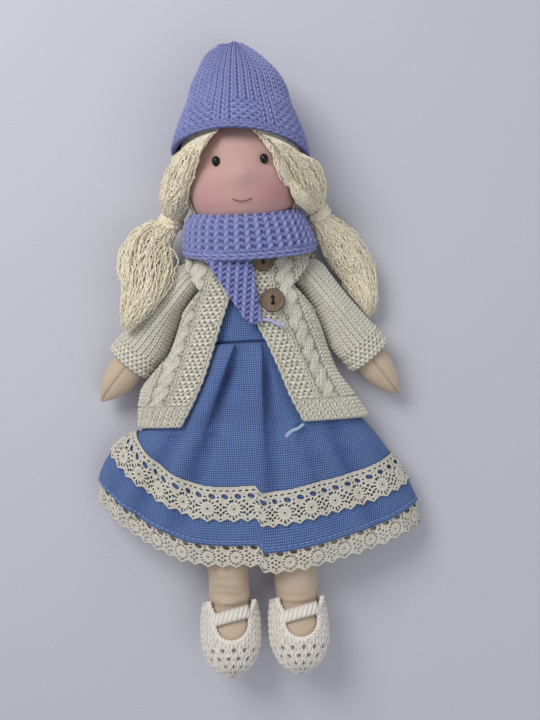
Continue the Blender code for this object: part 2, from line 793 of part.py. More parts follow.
def hat_rings():
    rings = []
    for row in HAT_ROWS_SHARES:
        y = HAT_BRIM_Y + HAT_LENGTH * row[0]
        ring = lying_ring(y, row, HAT_WIDTH, HAT_DEPTH, 0.0, 0.0, None, KNIT_POINTS)
        near_brim = 1 - row[0]
        for point in ring:
            point.y += near_brim * (HAT_FRONT_RISE * point.z / HAT_DEPTH - HAT_TILT_SHARE * point.x)
        rings.append(ring)
    return rings


def make_hat():
    seat = Vector((0, HAT_BRIM_Y, 0))
    rings = hat_rings()
    walls = []
    for wall in (rings, swell(rings, -HAT_KNIT, end_cap=True)):
        walls.append([[point - seat for point in ring] for ring in wall])
    put("hat", shell("hat", *walls, end_cap=True), "blue_knit", empty("hat_seat", seat))
    return put("around_hat", loft("around_hat", swell(rings, 2 * TURN_GAP, True, True)))


def make_hair_cap():
    """The sewn cap of hair round the head, open over the face."""
    first, last = HAIR_CAP_ROWS
    rings = head_rings()
    outer, inner = (swell(rings, grow, end_cap=True)[first:last] for grow in (GAP + HAIR_CAP, GAP))
    outline = [(x * HEAD_WIDTH, NECK_FOOT_Y + HEAD_LENGTH * y) for x, y in HAIRLINE_SHARES]
    outline += [(-x, y) for x, y in outline[-2::-1]]
    levels = (HEAD_FLOOR + HEAD_DEPTH / 2, HEAD_FLOOR + HEAD_DEPTH + OVERRUN)
    face = loft("face_opening", [[Vector((x, y, z)) for x, y in outline] for z in levels])
    cut(put("hair_cap", shell("hair_cap", outer, inner), "hair_yarn"), put("face_opening", face))


def sweep(name, stations, up, start_along=None, points=LIMB_POINTS):
    """A closed bundle along its stations: place, half of its width and half of its thickness."""
    rings = []
    places = [station[0] for station in stations]
    for i, (place, half_width, half_thickness) in enumerate(stations):
        along = places[min(i + 1, len(places) - 1)] - places[max(i - 1, 0)]
        if i == 0 and start_along:
            along = start_along
        along = along.normalized()
        out = up(place)
        across = along.cross(out).normalized()
        out = across.cross(along).normalized()
        rings.append(
            [
                place
                + across * half_width * math.cos(math.tau * k / points)
                + out * half_thickness * math.sin(math.tau * k / points)
                for k in range(points)
            ]
        )
    return loft(name, rings)


def away_from_head(place):
    middle = Vector((0, NECK_FOOT_Y + HEAD_LENGTH / 2, HEAD_FLOOR + HEAD_DEPTH / 2))
    return (place - middle).normalized()


def upwards(_place):
    return Vector((0, 0, 1))


def make_hair(arms, around_hat):
    """On each side a curtain of hair from the parting to the tie, the tie, and the pigtail below it."""
    rings = swell(head_rings(), HAIR_CAP + 2 * GAP, end_cap=True)
    around = put("around_hair", loft("around_hair", rings))
    for name, side, rows in (
        ("right", -1, RIGHT_PIGTAIL_ROWS_SHARES),
        ("left", 1, LEFT_PIGTAIL_ROWS_SHARES),
    ):
        stations = []
        for x, y, z, width, thickness in CURTAIN_ROWS_SHARES:
            place = Vector((side * HEAD_WIDTH * x, NECK_FOOT_Y + HEAD_LENGTH * y, HEAD_DEPTH * z))
            stations.append((place, HEAD_DEPTH / 2 * width, HEAD_WIDTH * thickness))
        mesh = sweep(name + "_hair", stations, away_from_head)
        cut(put(name + "_hair", mesh, "hair_yarn"), around, around_hat)
        knot = stations[-1][0]
        along = (knot - stations[-2][0]).normalized()
        stations = []
        for x, y, z, width, thickness in rows:
            place = knot + PIGTAIL_LENGTH * Vector((x, y, z))
            stations.append((place, PIGTAIL_WIDTH / 2 * width, PIGTAIL_DEPTH / 2 * thickness))
        stations[0] = (knot + along * GAP, *stations[0][1:])
        mesh = sweep(name + "_pigtail", stations, upwards, along)
        pigtail = put(name + "_pigtail", mesh, "hair_yarn")
        sleeve_room, sweep_room = arms[name]
        cut(pigtail, *(sweep_room if side > 0 else sleeve_room))
        make_tie(name, knot - along * (TIE_YARN_RADIUS + GAP), along)


def make_tie(name, place, along):
    around, along_yarn = TIE_POINTS
    bpy.ops.mesh.primitive_torus_add(
        major_segments=around, minor_segments=along_yarn, major_radius=TIE_RADIUS, minor_radius=TIE_YARN_RADIUS,
        location=place, rotation=along.to_track_quat("Z", "Y").to_euler(),
    )
    ring = bpy.context.object
    ring.name = name + "_hair_tie"
    for group in list(ring.users_collection):
        group.objects.unlink(ring)
    DOLL.objects.link(ring)
    ring.data.materials.append(material("hair_yarn"))
    ring.data.shade_smooth()


def spin_cutter(name, profile, start, sweep_angle, parent):
    """A wedge turned about the X axis of its parent from a profile of (x, radius) points."""
    mesh = bpy.data.meshes.new(name)
    shape = bmesh.new()
    corners = [shape.verts.new((x, -r * math.cos(start), r * math.sin(start))) for x, r in profile]
    face = shape.faces.new(corners)
    bmesh.ops.spin(
        shape, geom=[face], axis=(-1, 0, 0), cent=(0, 0, 0), angle=sweep_angle, steps=WEDGE_STEPS
    )
    bmesh.ops.recalc_face_normals(shape, faces=shape.faces)
    shape.to_mesh(mesh)
    shape.free()
    return put(name, mesh, None, parent)


def turned_cutter(name, profile, parent, steps=TURN_POINTS):
    """A solid turned about the X axis of its parent from a profile of (x, radius) points."""
    rings = []
    for x, radius in profile:
        rings.append(
            [
                Vector((x, radius * math.cos(math.tau * i / steps), radius * math.sin(math.tau * i / steps)))
                for i in range(steps)
            ]
        )
    return put(name, loft(name, rings), None, parent)


def armhole(distance):
    """How far the sleeve reaches from its middle towards the body, by the distance from the shoulder."""
    part = min(1, max(0, (distance - SLEEVE_RADIUS) / (ARMPIT - SLEEVE_RADIUS)))
    return ARMHOLE_INSET + (SLEEVE_RADIUS - ARMHOLE_INSET) * part


def limb_ring(y, outer, inner, half_depth, side, points=LIMB_POINTS):
    """A section of an arm's frame: the body lies on one side of it, where it may be narrower."""
    ring = []
    for i in range(points):
        angle = math.tau * i / points
        across = math.cos(angle)
        reach = outer if across > 0 else inner
        ring.append(Vector((side * across * reach, y, half_depth * math.sin(angle))))
    return ring


def dome_rings(side):
    """The round top of a sleeve, which turns about the shoulder."""
    rings = []
    for degrees in DOME_DEGREES:
        angle = math.radians(degrees)
        outer = SLEEVE_RADIUS * math.cos(angle)
        down = SLEEVE_RADIUS * math.sin(angle)
        rings.append(limb_ring(down, outer, min(outer, armhole(down)), outer * SLEEVE_DEPTH_SHARE, side))
    return rings


def sleeve_rings(side):
    rings = dome_rings(side)
    cuff = SLEEVE_LENGTH - CUFF_LENGTH
    stations = ((0, 0), (ARMPIT / 2, 0), (ARMPIT, 0), (cuff, -CUFF_ROLL))
    stations += ((cuff + CUFF_ROLL, CUFF_ROLL), (SLEEVE_LENGTH, CUFF_ROLL))
    for down, roll in stations:
        outer = SLEEVE_RADIUS + roll
        rings.append(limb_ring(-down, outer, min(outer, armhole(down)), outer * SLEEVE_DEPTH_SHARE, side))
    return rings


def arm_rings(side):
    """The arm fills its sleeve and ends in a mitten hand with a rounded tip."""
    rings = swell(sleeve_rings(side), -(CARDIGAN_KNIT + 2 * GAP), start_cap=True)[1:-2]
    for along, share in HAND_ROWS_SHARES:
        half = (SLEEVE_RADIUS - CUFF_ROLL - CARDIGAN_KNIT - GAP) * share
        rings.append(
            limb_ring(-SLEEVE_LENGTH - HAND_LENGTH * along, half, half, half * SLEEVE_DEPTH_SHARE, side)
        )
    return rings


def make_arm(name, side, spread):
    """The arm's frame at the shoulder: its X axis is the swing axis, and the arm runs along -Y."""
    shoulder = empty(
        name + "_shoulder",
        (side * SHOULDER_SPACING / 2, SHOULDER_Y, SHOULDER_Z),
        (math.radians(ARM_SLOPE_DEGREES), 0, side * math.radians(spread)),
    )
    outer = sleeve_rings(side)
    inner = swell(outer, -CARDIGAN_KNIT, start_cap=True)
    sleeve = shell(name + "_sleeve", outer[::-1], inner[::-1], end_cap=True)
    put(name + "_sleeve", sleeve, "cream_knit", shoulder)
    rings = arm_rings(side)
    skin = shell(name + "_arm_skin", rings, swell(rings, -SKIN_CLOTH, end_cap=True), end_cap=True)
    put(name + "_arm_skin", skin, "skin_cloth", shoulder)
    wool = loft(name + "_arm_wool", swell(rings, -(SKIN_CLOTH + GAP), end_cap=True))
    put(name + "_arm_wool", wool, "wool_filling", shoulder)
    return arm_room(name, side, shoulder)


def arm_room(name, side, shoulder):
    """Cutters for the room that the sleeve fills at rest, and for all that it sweeps as it swings."""
    shape = loft(name + "_sleeve_room", swell(sleeve_rings(side), TURN_GAP + GAP, True, True))
    at_rest = put(name + "_sleeve_room", shape, None, shoulder)
    lifted = put(name + "_lifted_sleeve_room", shape, None, shoulder)
    lifted.rotation_euler = (-math.radians(ARM_SWING_DEGREES), 0, 0)

    clear = SLEEVE_RADIUS + CUFF_ROLL + TURN_GAP
    inset = ARMHOLE_INSET + TURN_GAP
    reach = SLEEVE_LENGTH + HAND_LENGTH + TURN_GAP
    profile = [(clear, TURN_GAP), (clear, reach), (-clear, reach), (-clear, ARMPIT)]
    profile += [(-inset, SLEEVE_RADIUS), (-inset, TURN_GAP)]
    edge = math.asin(SLEEVE_DEPTH_SHARE * clear / ARMPIT)
    turn = math.radians(ARM_SWING_DEGREES) + 2 * edge
    wedge = spin_cutter(name + "_arm_sweep", [(side * x, r) for x, r in profile], -edge, turn, shoulder)

    ball = []
    first = -math.asin(inset / clear)
    last = math.radians(DOME_DEGREES[0])
    for i in range(BALL_STEPS + 1):
        angle = first + (last - first) * i / BALL_STEPS
        ball.append((side * clear * math.sin(angle), clear * math.cos(angle)))
    turned = turned_cutter(name + "_arm_ball", ball, shoulder)
    return [at_rest], [at_rest, lifted, wedge, turned]


def leg_rings():
    rings = []
    for along, share in LEG_ROWS_SHARES:
        half = LEG_WIDTH / 2 * share
        rings.append(limb_ring(-ANKLE_DISTANCE * along, half, half, half, 1))
    turn = Matrix.Rotation(-math.radians(FOOT_RISE_DEGREES), 3, "X")
    ankle = Vector((0, -ANKLE_DISTANCE, 0))
    for ring in foot_rings(FOOT_ROWS_SHARES, LIMB_POINTS):
        rings.append([ankle + turn @ point for point in ring])
    return rings


def foot_rings(rows, points):
    rings = []
    for along, width, depth in rows:
        half = FOOT_WIDTH / 2 * width
        rings.append(limb_ring(-FOOT_LENGTH * along, half, half, FOOT_DEPTH / 2 * depth, 1, points))
    return rings


def make_leg(name, side):
    """The leg's frame at the hip: its X axis is the swing axis, and the leg runs along -Y."""
    hip = empty(name + "_hip", (LEG_MIDDLE_X + side * LEG_SPACING / 2, HIP_Y, HIP_Z))
    rings = leg_rings()
    skin = shell(name + "_leg_skin", rings, swell(rings, -SKIN_CLOTH, end_cap=True), end_cap=True)
    put(name + "_leg_skin", skin, "skin_cloth", hip)
    wool = loft(name + "_leg_wool", swell(rings, -(SKIN_CLOTH + GAP), end_cap=True))
    put(name + "_leg_wool", wool, "wool_filling", hip)
    turn = (-math.radians(FOOT_RISE_DEGREES), 0, 0)
    make_shoe(name, empty(name + "_foot", (0, -ANKLE_DISTANCE, 0), turn, hip))


def shoe_rings():
    """The shoe follows the foot, but is as wide at its rim as at the foot's widest, so that it pulls off."""
    rows = [(SHOE_RIM_SHARE, 1, 1)]
    widest = max(FOOT_ROWS_SHARES, key=lambda row: row[1])[0]
    for along, width, depth in FOOT_ROWS_SHARES[1:]:
        rows.append((along, 1, 1) if along < widest else (along, width, depth))
    return foot_rings(rows, SHOE_POINTS)


def make_shoe(name, foot):
    outside = TURN_GAP + SHOE_CROCHET
    walls = [swell(shoe_rings(), grow, end_cap=True) for grow in (outside, TURN_GAP)]
    shape = shell(name + "_shoe", *walls, end_cap=True)
    cut(put(name + "_shoe", shape, "shoe_cotton", foot), shoe_opening(name, foot))
    half_angle = math.asin((SHOE_OPENING_WIDTH / 2 - GAP) / (FOOT_WIDTH / 2 + outside))
    walls = []
    for grow in (outside, TURN_GAP):
        half_width, half_depth = FOOT_WIDTH / 2 + grow, FOOT_DEPTH / 2 + grow
        rings = []
        for along in (STRAP_FROM_SHARE, STRAP_TO_SHARE):
            turns = [1 - 2 * i / STRAP_STEPS for i in range(STRAP_STEPS + 1)]
            angles = [math.pi / 2 + half_angle * turn for turn in turns]
            y = -FOOT_LENGTH * along
            rings.append([Vector((half_width * math.cos(a), y, half_depth * math.sin(a))) for a in angles])
        walls.append(rings)
    strap = shell(name + "_shoe_strap", *walls, closed=False)
    put(name + "_shoe_strap", strap, "shoe_cotton", foot)


def shoe_opening(name, foot):
    """A slot with a round end over the instep."""
    half = SHOE_OPENING_WIDTH / 2
    end = FOOT_LENGTH * SHOE_OPENING_SHARE - half
    outline = [(half, OVERRUN), (half, -end)]
    for i in range(1, OPENING_STEPS):
        angle = math.pi * i / OPENING_STEPS
        outline.append((half * math.cos(angle), -end - half * math.sin(angle)))
    outline += [(-half, -end), (-half, OVERRUN)]
    rings = [[Vector((x, y, z)) for x, y in outline] for z in (0, FOOT_DEPTH / 2 + OVERRUN)]
    return put(name + "_shoe_opening", loft(name + "_shoe_opening", rings), None, foot)


def move_to_origin():
    """Put the middle of the doll's underside at the origin."""
    bpy.context.view_layer.update()
    depsgraph = bpy.context.evaluated_depsgraph_get()
    corners = []
    for thing in DOLL.objects:
        if thing.type == "EMPTY":
            continue
        shown = thing.evaluated_get(depsgraph)
        mesh = shown.to_mesh()
        corners += [shown.matrix_world @ vertex.co for vertex in mesh.vertices]
        shown.to_mesh_clear()
    low = Vector(min(point[i] for point in corners) for i in range(3))
    high = Vector(max(point[i] for point in corners) for i in range(3))
    shift = Vector((-(low.x + high.x) / 2, -(low.y + high.y) / 2, -low.z))
    for group in (DOLL, CUTTERS):
        for thing in group.objects:
            if not thing.parent:
                thing.location += shift
    return shift


def make_yarn_ends():
    """The loose ends of yarn: one at the scarf's tip, and one at the hem of the cardigan's left front."""
    share = (tail_tip_y() - CARDIGAN_HEM_Y) / CARDIGAN_LENGTH
    points = []
    for along, down in SCARF_END_SHARES:
        x = TAIL_TIP_X + TAIL_TIP_WIDTH / 2 + YARN_END_LENGTH * along
        z = cardigan_top(x / 2, share) + YARN_RADIUS + GAP
        points.append((x, tail_tip_y() - YARN_END_LENGTH * down, z))
    tube("scarf_yarn_end", points, YARN_RADIUS, "blue_yarn")

    corner_x = CARDIGAN_WIDTH / 2 * LEFT_EDGE_SHARES[0]
    points = []
    for across, down in CARDIGAN_END_SHARES:
        x = corner_x - YARN_END_LENGTH * across
        y = CARDIGAN_HEM_Y - YARN_END_LENGTH * down
        points.append((x, y, cardigan_top(x, 0) - CARDIGAN_KNIT + YARN_RADIUS + GAP))
    tube("cardigan_yarn_end", points, YARN_RADIUS, "cream_yarn")


def build():
    arms = {
        "right": make_arm("right", -1, RIGHT_ARM_SPREAD_DEGREES),
        "left": make_arm("left", 1, LEFT_ARM_SPREAD_DEGREES),
    }
    arm_cutters = arms["right"][1] + arms["left"][1]
    around_head = make_head()
    make_torso()
    make_bodice()
    make_skirt()
    make_cardigan(arm_cutters)
    make_button("lower_button", LOWER_BUTTON_X, LOWER_BUTTON_SHARE)
    around_button = make_button("upper_button", UPPER_BUTTON_X, UPPER_BUTTON_SHARE)
    make_scarf(around_head, around_button, *arm_cutters)
    make_yarn_ends()
    make_hair_cap()
    make_hair(arms, make_hat())
    make_leg("right", -1)
    make_leg("left", 1)
    move_to_origin()


build()
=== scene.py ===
"""The looks of a soft waldorf doll in knitted clothes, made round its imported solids.

Metres. Every piece is made along the doll's middle line, with the waist seam at Y = 0 and the table at Z = 0,
and moved by SHIFT to where the solids are. The values down to the section Shapes are those of the part's source.
"""

import json
import math

import bpy
import numpy as np
from mathutils import Euler, Matrix, Vector


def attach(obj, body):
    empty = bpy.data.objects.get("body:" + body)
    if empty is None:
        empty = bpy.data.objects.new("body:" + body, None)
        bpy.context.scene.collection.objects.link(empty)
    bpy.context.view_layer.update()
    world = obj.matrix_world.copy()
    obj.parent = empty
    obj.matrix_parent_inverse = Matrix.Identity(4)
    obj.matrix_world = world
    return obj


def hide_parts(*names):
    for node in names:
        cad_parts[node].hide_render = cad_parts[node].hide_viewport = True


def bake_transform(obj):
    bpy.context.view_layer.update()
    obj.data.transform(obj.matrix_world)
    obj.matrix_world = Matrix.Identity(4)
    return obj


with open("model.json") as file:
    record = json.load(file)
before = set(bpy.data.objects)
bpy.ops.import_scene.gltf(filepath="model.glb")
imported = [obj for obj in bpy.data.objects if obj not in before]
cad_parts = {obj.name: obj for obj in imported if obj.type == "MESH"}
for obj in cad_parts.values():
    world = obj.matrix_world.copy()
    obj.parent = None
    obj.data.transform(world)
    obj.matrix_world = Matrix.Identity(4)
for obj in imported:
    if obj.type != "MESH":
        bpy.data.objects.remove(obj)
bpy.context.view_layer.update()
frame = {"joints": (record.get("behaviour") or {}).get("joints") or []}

# Clearances
GAP = 0.0004  # between soft pieces that touch
TURN_GAP = 0.0006  # between pieces that turn or slide against each other

# Cloth, knit and yarn
SKIN_CLOTH = 0.0007
DRESS_CLOTH = 0.0009
PETTICOAT_CLOTH = 0.0007
LACE = 0.0008
CARDIGAN_KNIT = 0.0022
HAT_KNIT = 0.0024
SCARF_KNIT = 0.0045
SHOE_CROCHET = 0.0022
HAIR_CAP = 0.0014
YARN_RADIUS = 0.0008
THREAD_RADIUS = 0.0004

# Levels above the table, one layer on the next
DRESS_FLOOR = CARDIGAN_KNIT + 2 * GAP
TORSO_FLOOR = DRESS_FLOOR + DRESS_CLOTH + GAP + PETTICOAT_CLOTH + GAP
HAIR_FLOOR = HAT_KNIT + GAP
HEAD_FLOOR = HAIR_FLOOR + HAIR_CAP + GAP
HEM_FLOOR = LACE + GAP

# Head and neck
NECK_FOOT_Y = 0.044
HEAD_LENGTH = 0.082
HEAD_WIDTH = 0.0544
HEAD_DEPTH = 0.0565
HEAD_ROWS_SHARES = (
    (0.00, 0.37, 0.37, 0.18, 0.49),
    (0.11, 0.39, 0.39, 0.17, 0.50),
    (0.16, 0.46, 0.46, 0.14, 0.62),
    (0.21, 0.70, 0.70, 0.10, 0.84),
    (0.27, 0.86, 0.86, 0.05, 0.93),
    (0.35, 0.97, 0.97, 0.01, 0.98),
    (0.44, 1.00, 1.00, -0.02, 1.00),
    (0.54, 0.99, 0.99, -0.02, 0.99),
    (0.65, 0.955, 0.955, -0.01, 0.955),
    (0.76, 0.865, 0.865, 0.03, 0.885),
    (0.85, 0.72, 0.72, 0.09, 0.80),
    (0.93, 0.53, 0.53, 0.17, 0.70),
    (0.975, 0.33, 0.33, 0.26, 0.61),
    (1.00, 0.15, 0.15, 0.35, 0.52),
)
NOSE_RADIUS = 0.0055
NOSE_Y_SHARE = 0.44
EYE_RADIUS = 0.0020
EYE_SPACING = 0.0234
EYE_Y_SHARE = 0.53
EYE_SINK_SHARE = 0.35
MOUTH_WIDTH = 0.0100
MOUTH_DROP = 0.0014
MOUTH_Y_SHARE = 0.30

# Hair
HAIR_CAP_ROWS = (4, 12)  # the head rows between which the cap lies
TIE_RADIUS = 0.0060
TIE_YARN_RADIUS = 0.0009
PIGTAIL_LENGTH = 0.056
PIGTAIL_WIDTH = 0.026
PIGTAIL_DEPTH = 0.014
RIGHT_PIGTAIL_ROWS_SHARES = (
    (0.00, -0.03, 0.00, 0.33, 0.62),
    (-0.17, -0.18, 0.03, 0.85, 1.00),
    (-0.24, -0.40, 0.12, 1.00, 1.00),
    (-0.26, -0.61, 0.20, 0.80, 0.85),
    (-0.36, -0.83, 0.20, 0.45, 0.60),
    (-0.46, -1.00, 0.14, 0.12, 0.20),
)
LEFT_PIGTAIL_ROWS_SHARES = (
    (0.00, -0.03, 0.00, 0.33, 0.62),
    (0.12, -0.18, -0.08, 0.62, 1.00),
    (0.25, -0.38, -0.13, 0.70, 1.00),
    (0.36, -0.59, -0.17, 0.62, 0.85),
    (0.42, -0.81, -0.18, 0.40, 0.60),
    (0.42, -0.99, -0.20, 0.12, 0.20),
)

# Torso
TORSO_FOOT_Y = -0.0452
TORSO_LENGTH = 0.0952
TORSO_WIDTH = 0.060
TORSO_DEPTH = 0.0325
TORSO_ROWS_SHARES = (
    (0.00, 0.86, 0.86, 0.12, 0.70),
    (0.06, 0.98, 0.98, 0.00, 0.83),
    (0.26, 1.00, 1.00, -0.04, 0.92),
    (0.48, 0.95, 0.95, -0.04, 0.97),
    (0.69, 0.85, 0.85, -0.04, 1.00),
    (0.80, 0.66, 0.66, -0.03, 1.00),
    (0.90, 0.55, 0.55, 0.05, 0.97),
    (1.00, 0.45, 0.45, 0.16, 0.90),
)
WAIST_ROW = 3  # the torso row at the waist seam

# Dress
SKIRT_LENGTH = 0.107
SKIRT_WIDTH = 0.1725
SKIRT_DEPTH = 0.0394
SKIRT_TOP_SHARE = 0.006
UNDER_CARDIGAN_SHARES = (0.985, 0.95, 0.88, 0.84)  # of the cardigan's inside, from its hem up
SKIRT_ROWS_SHARES = (  # by the share of the way from the cardigan's hem to the skirt's
    (0.197, 0.82, 0.74, -0.20, 0.88),
    (0.532, 0.935, 0.86, -0.28, 0.89),
    (0.833, 0.99, 0.95, -0.30, 0.89),
    (1.000, 1.01, 0.99, -0.30, 0.89),
)
RIGHT_SIDE_LIFT = 0.037  # how far the hem rises at the doll's right side
LEFT_SIDE_LIFT = 0.017
SIDE_LIFT_POWER = 2.5  # how closely the rise keeps to the sides
PETTICOAT_LACE_WIDTH = 0.0150
PETTICOAT_LACE_COVER = 0.0030

# Cardigan
CARDIGAN_TOP_Y = 0.051
CARDIGAN_LENGTH = 0.094
CARDIGAN_HEM_Y = CARDIGAN_TOP_Y - CARDIGAN_LENGTH
CARDIGAN_WIDTH = 0.124
CARDIGAN_DEPTH = 0.0435
CARDIGAN_ROWS_SHARES = (
    (0.00, 1.03, 0.97, -0.16, 0.87),
    (0.14, 0.99, 0.85, -0.14, 0.92),
    (0.29, 0.92, 0.72, -0.12, 0.955),
    (0.41, 0.87, 0.66, -0.10, 0.965),
    (0.62, 0.80, 0.66, -0.10, 0.99),
    (0.78, 0.72, 0.68, -0.10, 1.00),
    (0.88, 0.62, 0.64, -0.08, 0.99),
    (0.96, 0.48, 0.50, 0.00, 0.94),
    (1.00, 0.36, 0.36, 0.05, 0.90),
)
RIGHT_EDGE_SHARES = (-0.62, -0.49, -0.38, -0.31, -0.19, -0.09, -0.05, -0.04, -0.04)
LEFT_EDGE_SHARES = (0.40, 0.30, 0.22, 0.15, 0.01, -0.03, -0.03, -0.03, -0.03)

# Buttons
BUTTON_RADIUS = 0.0060
BUTTON_THICKNESS = 0.0022
BUTTON_EDGE = 0.0004
BUTTON_HOLE_RADIUS = 0.0008
BUTTON_HOLE_SPACING = 0.0030
LOWER_BUTTON_X = 0.0124
UPPER_BUTTON_X = 0.0086
LOWER_BUTTON_SHARE = 0.665

# Scarf
SCARF_TOP_Y = 0.063
SCARF_DROP = 0.023
SCARF_WIDTH = 0.068
SCARF_DEPTH = 0.0550
SCARF_BACK_RISE = 0.013
SCARF_ROWS_SHARES = (
    (0.00, 0.79, 0.84, -0.05, 0.95),
    (0.20, 0.90, 0.92, -0.08, 1.00),
    (0.50, 0.95, 1.01, -0.08, 1.01),
    (0.80, 0.965, 1.07, -0.05, 0.99),
    (1.00, 0.955, 1.07, -0.02, 0.965),
)
TAIL_PAST_BUTTON = 0.0065  # from the lower button's edge to the tail's tip
TAIL_THICKNESS = 0.0030
TAIL_TOP_WIDTH = 0.025
TAIL_TIP_WIDTH = 0.0085
TAIL_TOP_X = -0.0095
TAIL_TIP_X = 0.0025
TAIL_LIFT = 0.0025
YARN_END_LENGTH = 0.010
SCARF_END_SHARES = ((0.06, -0.12), (0.35, -0.05), (0.7, 0.12), (1.05, 0.28))  # sideways, down
CARDIGAN_END_SHARES = ((0.0, 0.12), (0.3, 0.32), (0.65, 0.45), (0.95, 0.70))

# Hat
HAT_BRIM_Y = 0.096
HAT_LENGTH = 0.059
HAT_WIDTH = 0.0725
HAT_DEPTH = 0.0660
HAT_TILT_SHARE = 0.09
HAT_FRONT_RISE = 0.005

# Arms
SHOULDER_Y = 0.030
SHOULDER_Z = 0.0195
SHOULDER_SPACING = 0.062
RIGHT_ARM_SPREAD_DEGREES = 42.0
LEFT_ARM_SPREAD_DEGREES = 37.0
ARM_SLOPE_DEGREES = 6.0
ARM_SWING_DEGREES = 60.0
SLEEVE_LENGTH = 0.0525
SLEEVE_RADIUS = 0.0125
SLEEVE_DEPTH_SHARE = 0.90
CUFF_LENGTH = 0.0100
CUFF_ROLL = 0.0008
ARMHOLE_INSET = 0.0052
ARMPIT = 0.035
HAND_LENGTH = 0.0245
HAND_ROWS_SHARES = (
    (0.00, 1.00),
    (0.30, 0.98),
    (0.55, 0.82),
    (0.78, 0.57),
    (0.92, 0.34),
    (1.00, 0.14),
)

# Legs and feet
HIP_Y = -0.057
HIP_Z = 0.0163
LEG_SPACING = 0.036
LEG_MIDDLE_X = -0.001
LEG_WIDTH = 0.0220
ANKLE_DISTANCE = 0.081
FOOT_LENGTH = 0.039
FOOT_WIDTH = 0.0266
FOOT_DEPTH = 0.0212
FOOT_RISE_DEGREES = 20.0
LEG_ROWS_SHARES = (
    (-0.135, 0.28),
    (-0.12, 0.58),
    (-0.08, 0.88),
    (0.00, 1.02),
    (0.30, 1.00),
    (0.65, 0.95),
    (0.90, 0.97),
)
FOOT_ROWS_SHARES = (
    (0.04, 0.84, 0.97),
    (0.22, 0.93, 0.99),
    (0.46, 1.00, 1.00),
    (0.68, 0.94, 0.94),
    (0.84, 0.75, 0.77),
    (0.95, 0.48, 0.50),
    (1.00, 0.22, 0.24),
)
SHOE_RIM_SHARE = 0.02
SHOE_OPENING_WIDTH = 0.0185
SHOE_OPENING_SHARE = 0.56
STRAP_FROM_SHARE = 0.15
STRAP_TO_SHARE = 0.28


MM = 0.001
TAU = math.tau
HALF_PI = math.pi / 2
SMALLEST_RING = 0.02  # of the ring that a dome starts from


def place_of(joint):
    return np.array(next(j["pos_m"] for j in frame["joints"] if j["name"] == joint))


SHIFT = place_of("left_leg_swing") - np.array((LEG_MIDDLE_X + LEG_SPACING / 2, HIP_Y, HIP_Z))


# Shapes

def curve(xs, ys, at):
    """Smooth values through the points of a table, column by column."""
    xs, ys = np.array(xs, float), np.array(ys, float)
    slopes = np.gradient(ys, xs, axis=0)
    at = np.clip(at, xs[0], xs[-1])
    i = np.clip(np.searchsorted(xs, at, side="right") - 1, 0, len(xs) - 2)
    gap = xs[i + 1] - xs[i]
    p = (at - xs[i]) / gap
    shape = (-1,) + (1,) * (ys.ndim - 1)
    p, gap = p.reshape(shape), gap.reshape(shape)
    q = 1 - p
    return (
        ys[i] * (1 + 2 * p) * q * q
        + slopes[i] * gap * p * q * q
        + ys[i + 1] * p * p * (3 - 2 * p)
        - slopes[i + 1] * gap * p * p * q
    )


def smooth_rows(table, shares):
    table = np.array(table, float)
    shares = np.clip(shares, table[0, 0], table[-1, 0])
    return np.column_stack([shares, curve(table[:, 0], table[:, 1:], shares)])


def section(angles, rows, width, depth, floor=0.0, grow=0.0):
    """x and z of the sections across the doll, by row and angle."""
    side = np.cos(angles)[None, :]
    half = width / 2 * np.where(side > 0, rows[:, 2:3], rows[:, 1:2]) + grow
    low = floor + depth * rows[:, 3:4] - grow
    top = floor + depth * rows[:, 4:5] + grow
    z = (low + top) / 2 + (top - low) / 2 * np.sin(angles)[None, :]
    return side * half, np.maximum(floor - grow, z)


def form(angles, table, shares, start, length, width, depth, floor=0.0, grow=0.0):
    rows = smooth_rows(table, shares)
    x, z = section(angles, rows, width, depth, floor, grow)
    y = start + length * rows[:, :1] + 0 * x
    return np.stack([x, y, z], axis=2)


def round_angles(count):
    """Angles round a section, from its underside."""
    return np.arange(count) / count * TAU - HALF_PI


def domed(points, rise, steps):
    """Close the last row of a round piece with a dome."""
    middle = points[-1].mean(axis=0)
    turns = [HALF_PI * i / steps for i in range(1, steps + 1)]
    extra = [
        middle + (points[-1] - middle) * max(math.cos(turn), SMALLEST_RING) + np.array(rise) * math.sin(turn)
        for turn in turns
    ]
    return np.concatenate([points, extra])


def normals(points, closed, heart=None):
    if closed:
        across = np.roll(points, -1, axis=1) - np.roll(points, 1, axis=1)
    else:
        across = np.gradient(points, axis=1)
    along = np.gradient(points, axis=0)
    found = unit(np.cross(across, along))
    if heart is None:
        heart = points.mean(axis=1, keepdims=True)
    out = np.sum(found * (points - heart))
    return found if out > 0 else -found


def lengths(points, axis):
    """Distance in mm along the grid's rows or columns."""
    steps = np.linalg.norm(np.diff(points, axis=axis), axis=2)
    total = np.cumsum(steps, axis=axis) / MM
    pad = [(0, 0), (0, 0)]
    pad[axis] = (1, 0)
    return np.pad(total, pad)


def fall(points):
    """Distance in mm down the grid, the same along each row."""
    return lengths(points, 0).mean(axis=1)[:, None]


def girth(points, row):
    """Distance in mm round one row of a closed grid, place by place and in all."""
    around = lengths(points[row : row + 1], 1)[0]
    return around, around[-1] + around[1]


def run_of(places):
    """Distance along a line of places."""
    return np.concatenate([[0], np.cumsum(np.linalg.norm(np.diff(places, axis=0), axis=1))])


def through(keys, count):
    """Smooth rows through a few, evenly spaced."""
    steps = np.linalg.norm(np.diff(keys, axis=0), axis=2).mean(axis=1)
    at = np.concatenate([[0], np.cumsum(steps)])
    where = np.linspace(0, at[-1], count)
    return curve(at, keys.reshape(len(keys), -1), where).reshape(count, -1, 3)


def unit(vectors):
    return vectors / np.maximum(np.linalg.norm(vectors, axis=-1, keepdims=True), 1e-12)


def bell(value, width):
    """1 at 0, and down to nearly 0 at twice the width."""
    return np.exp(-((value / width) ** 2))


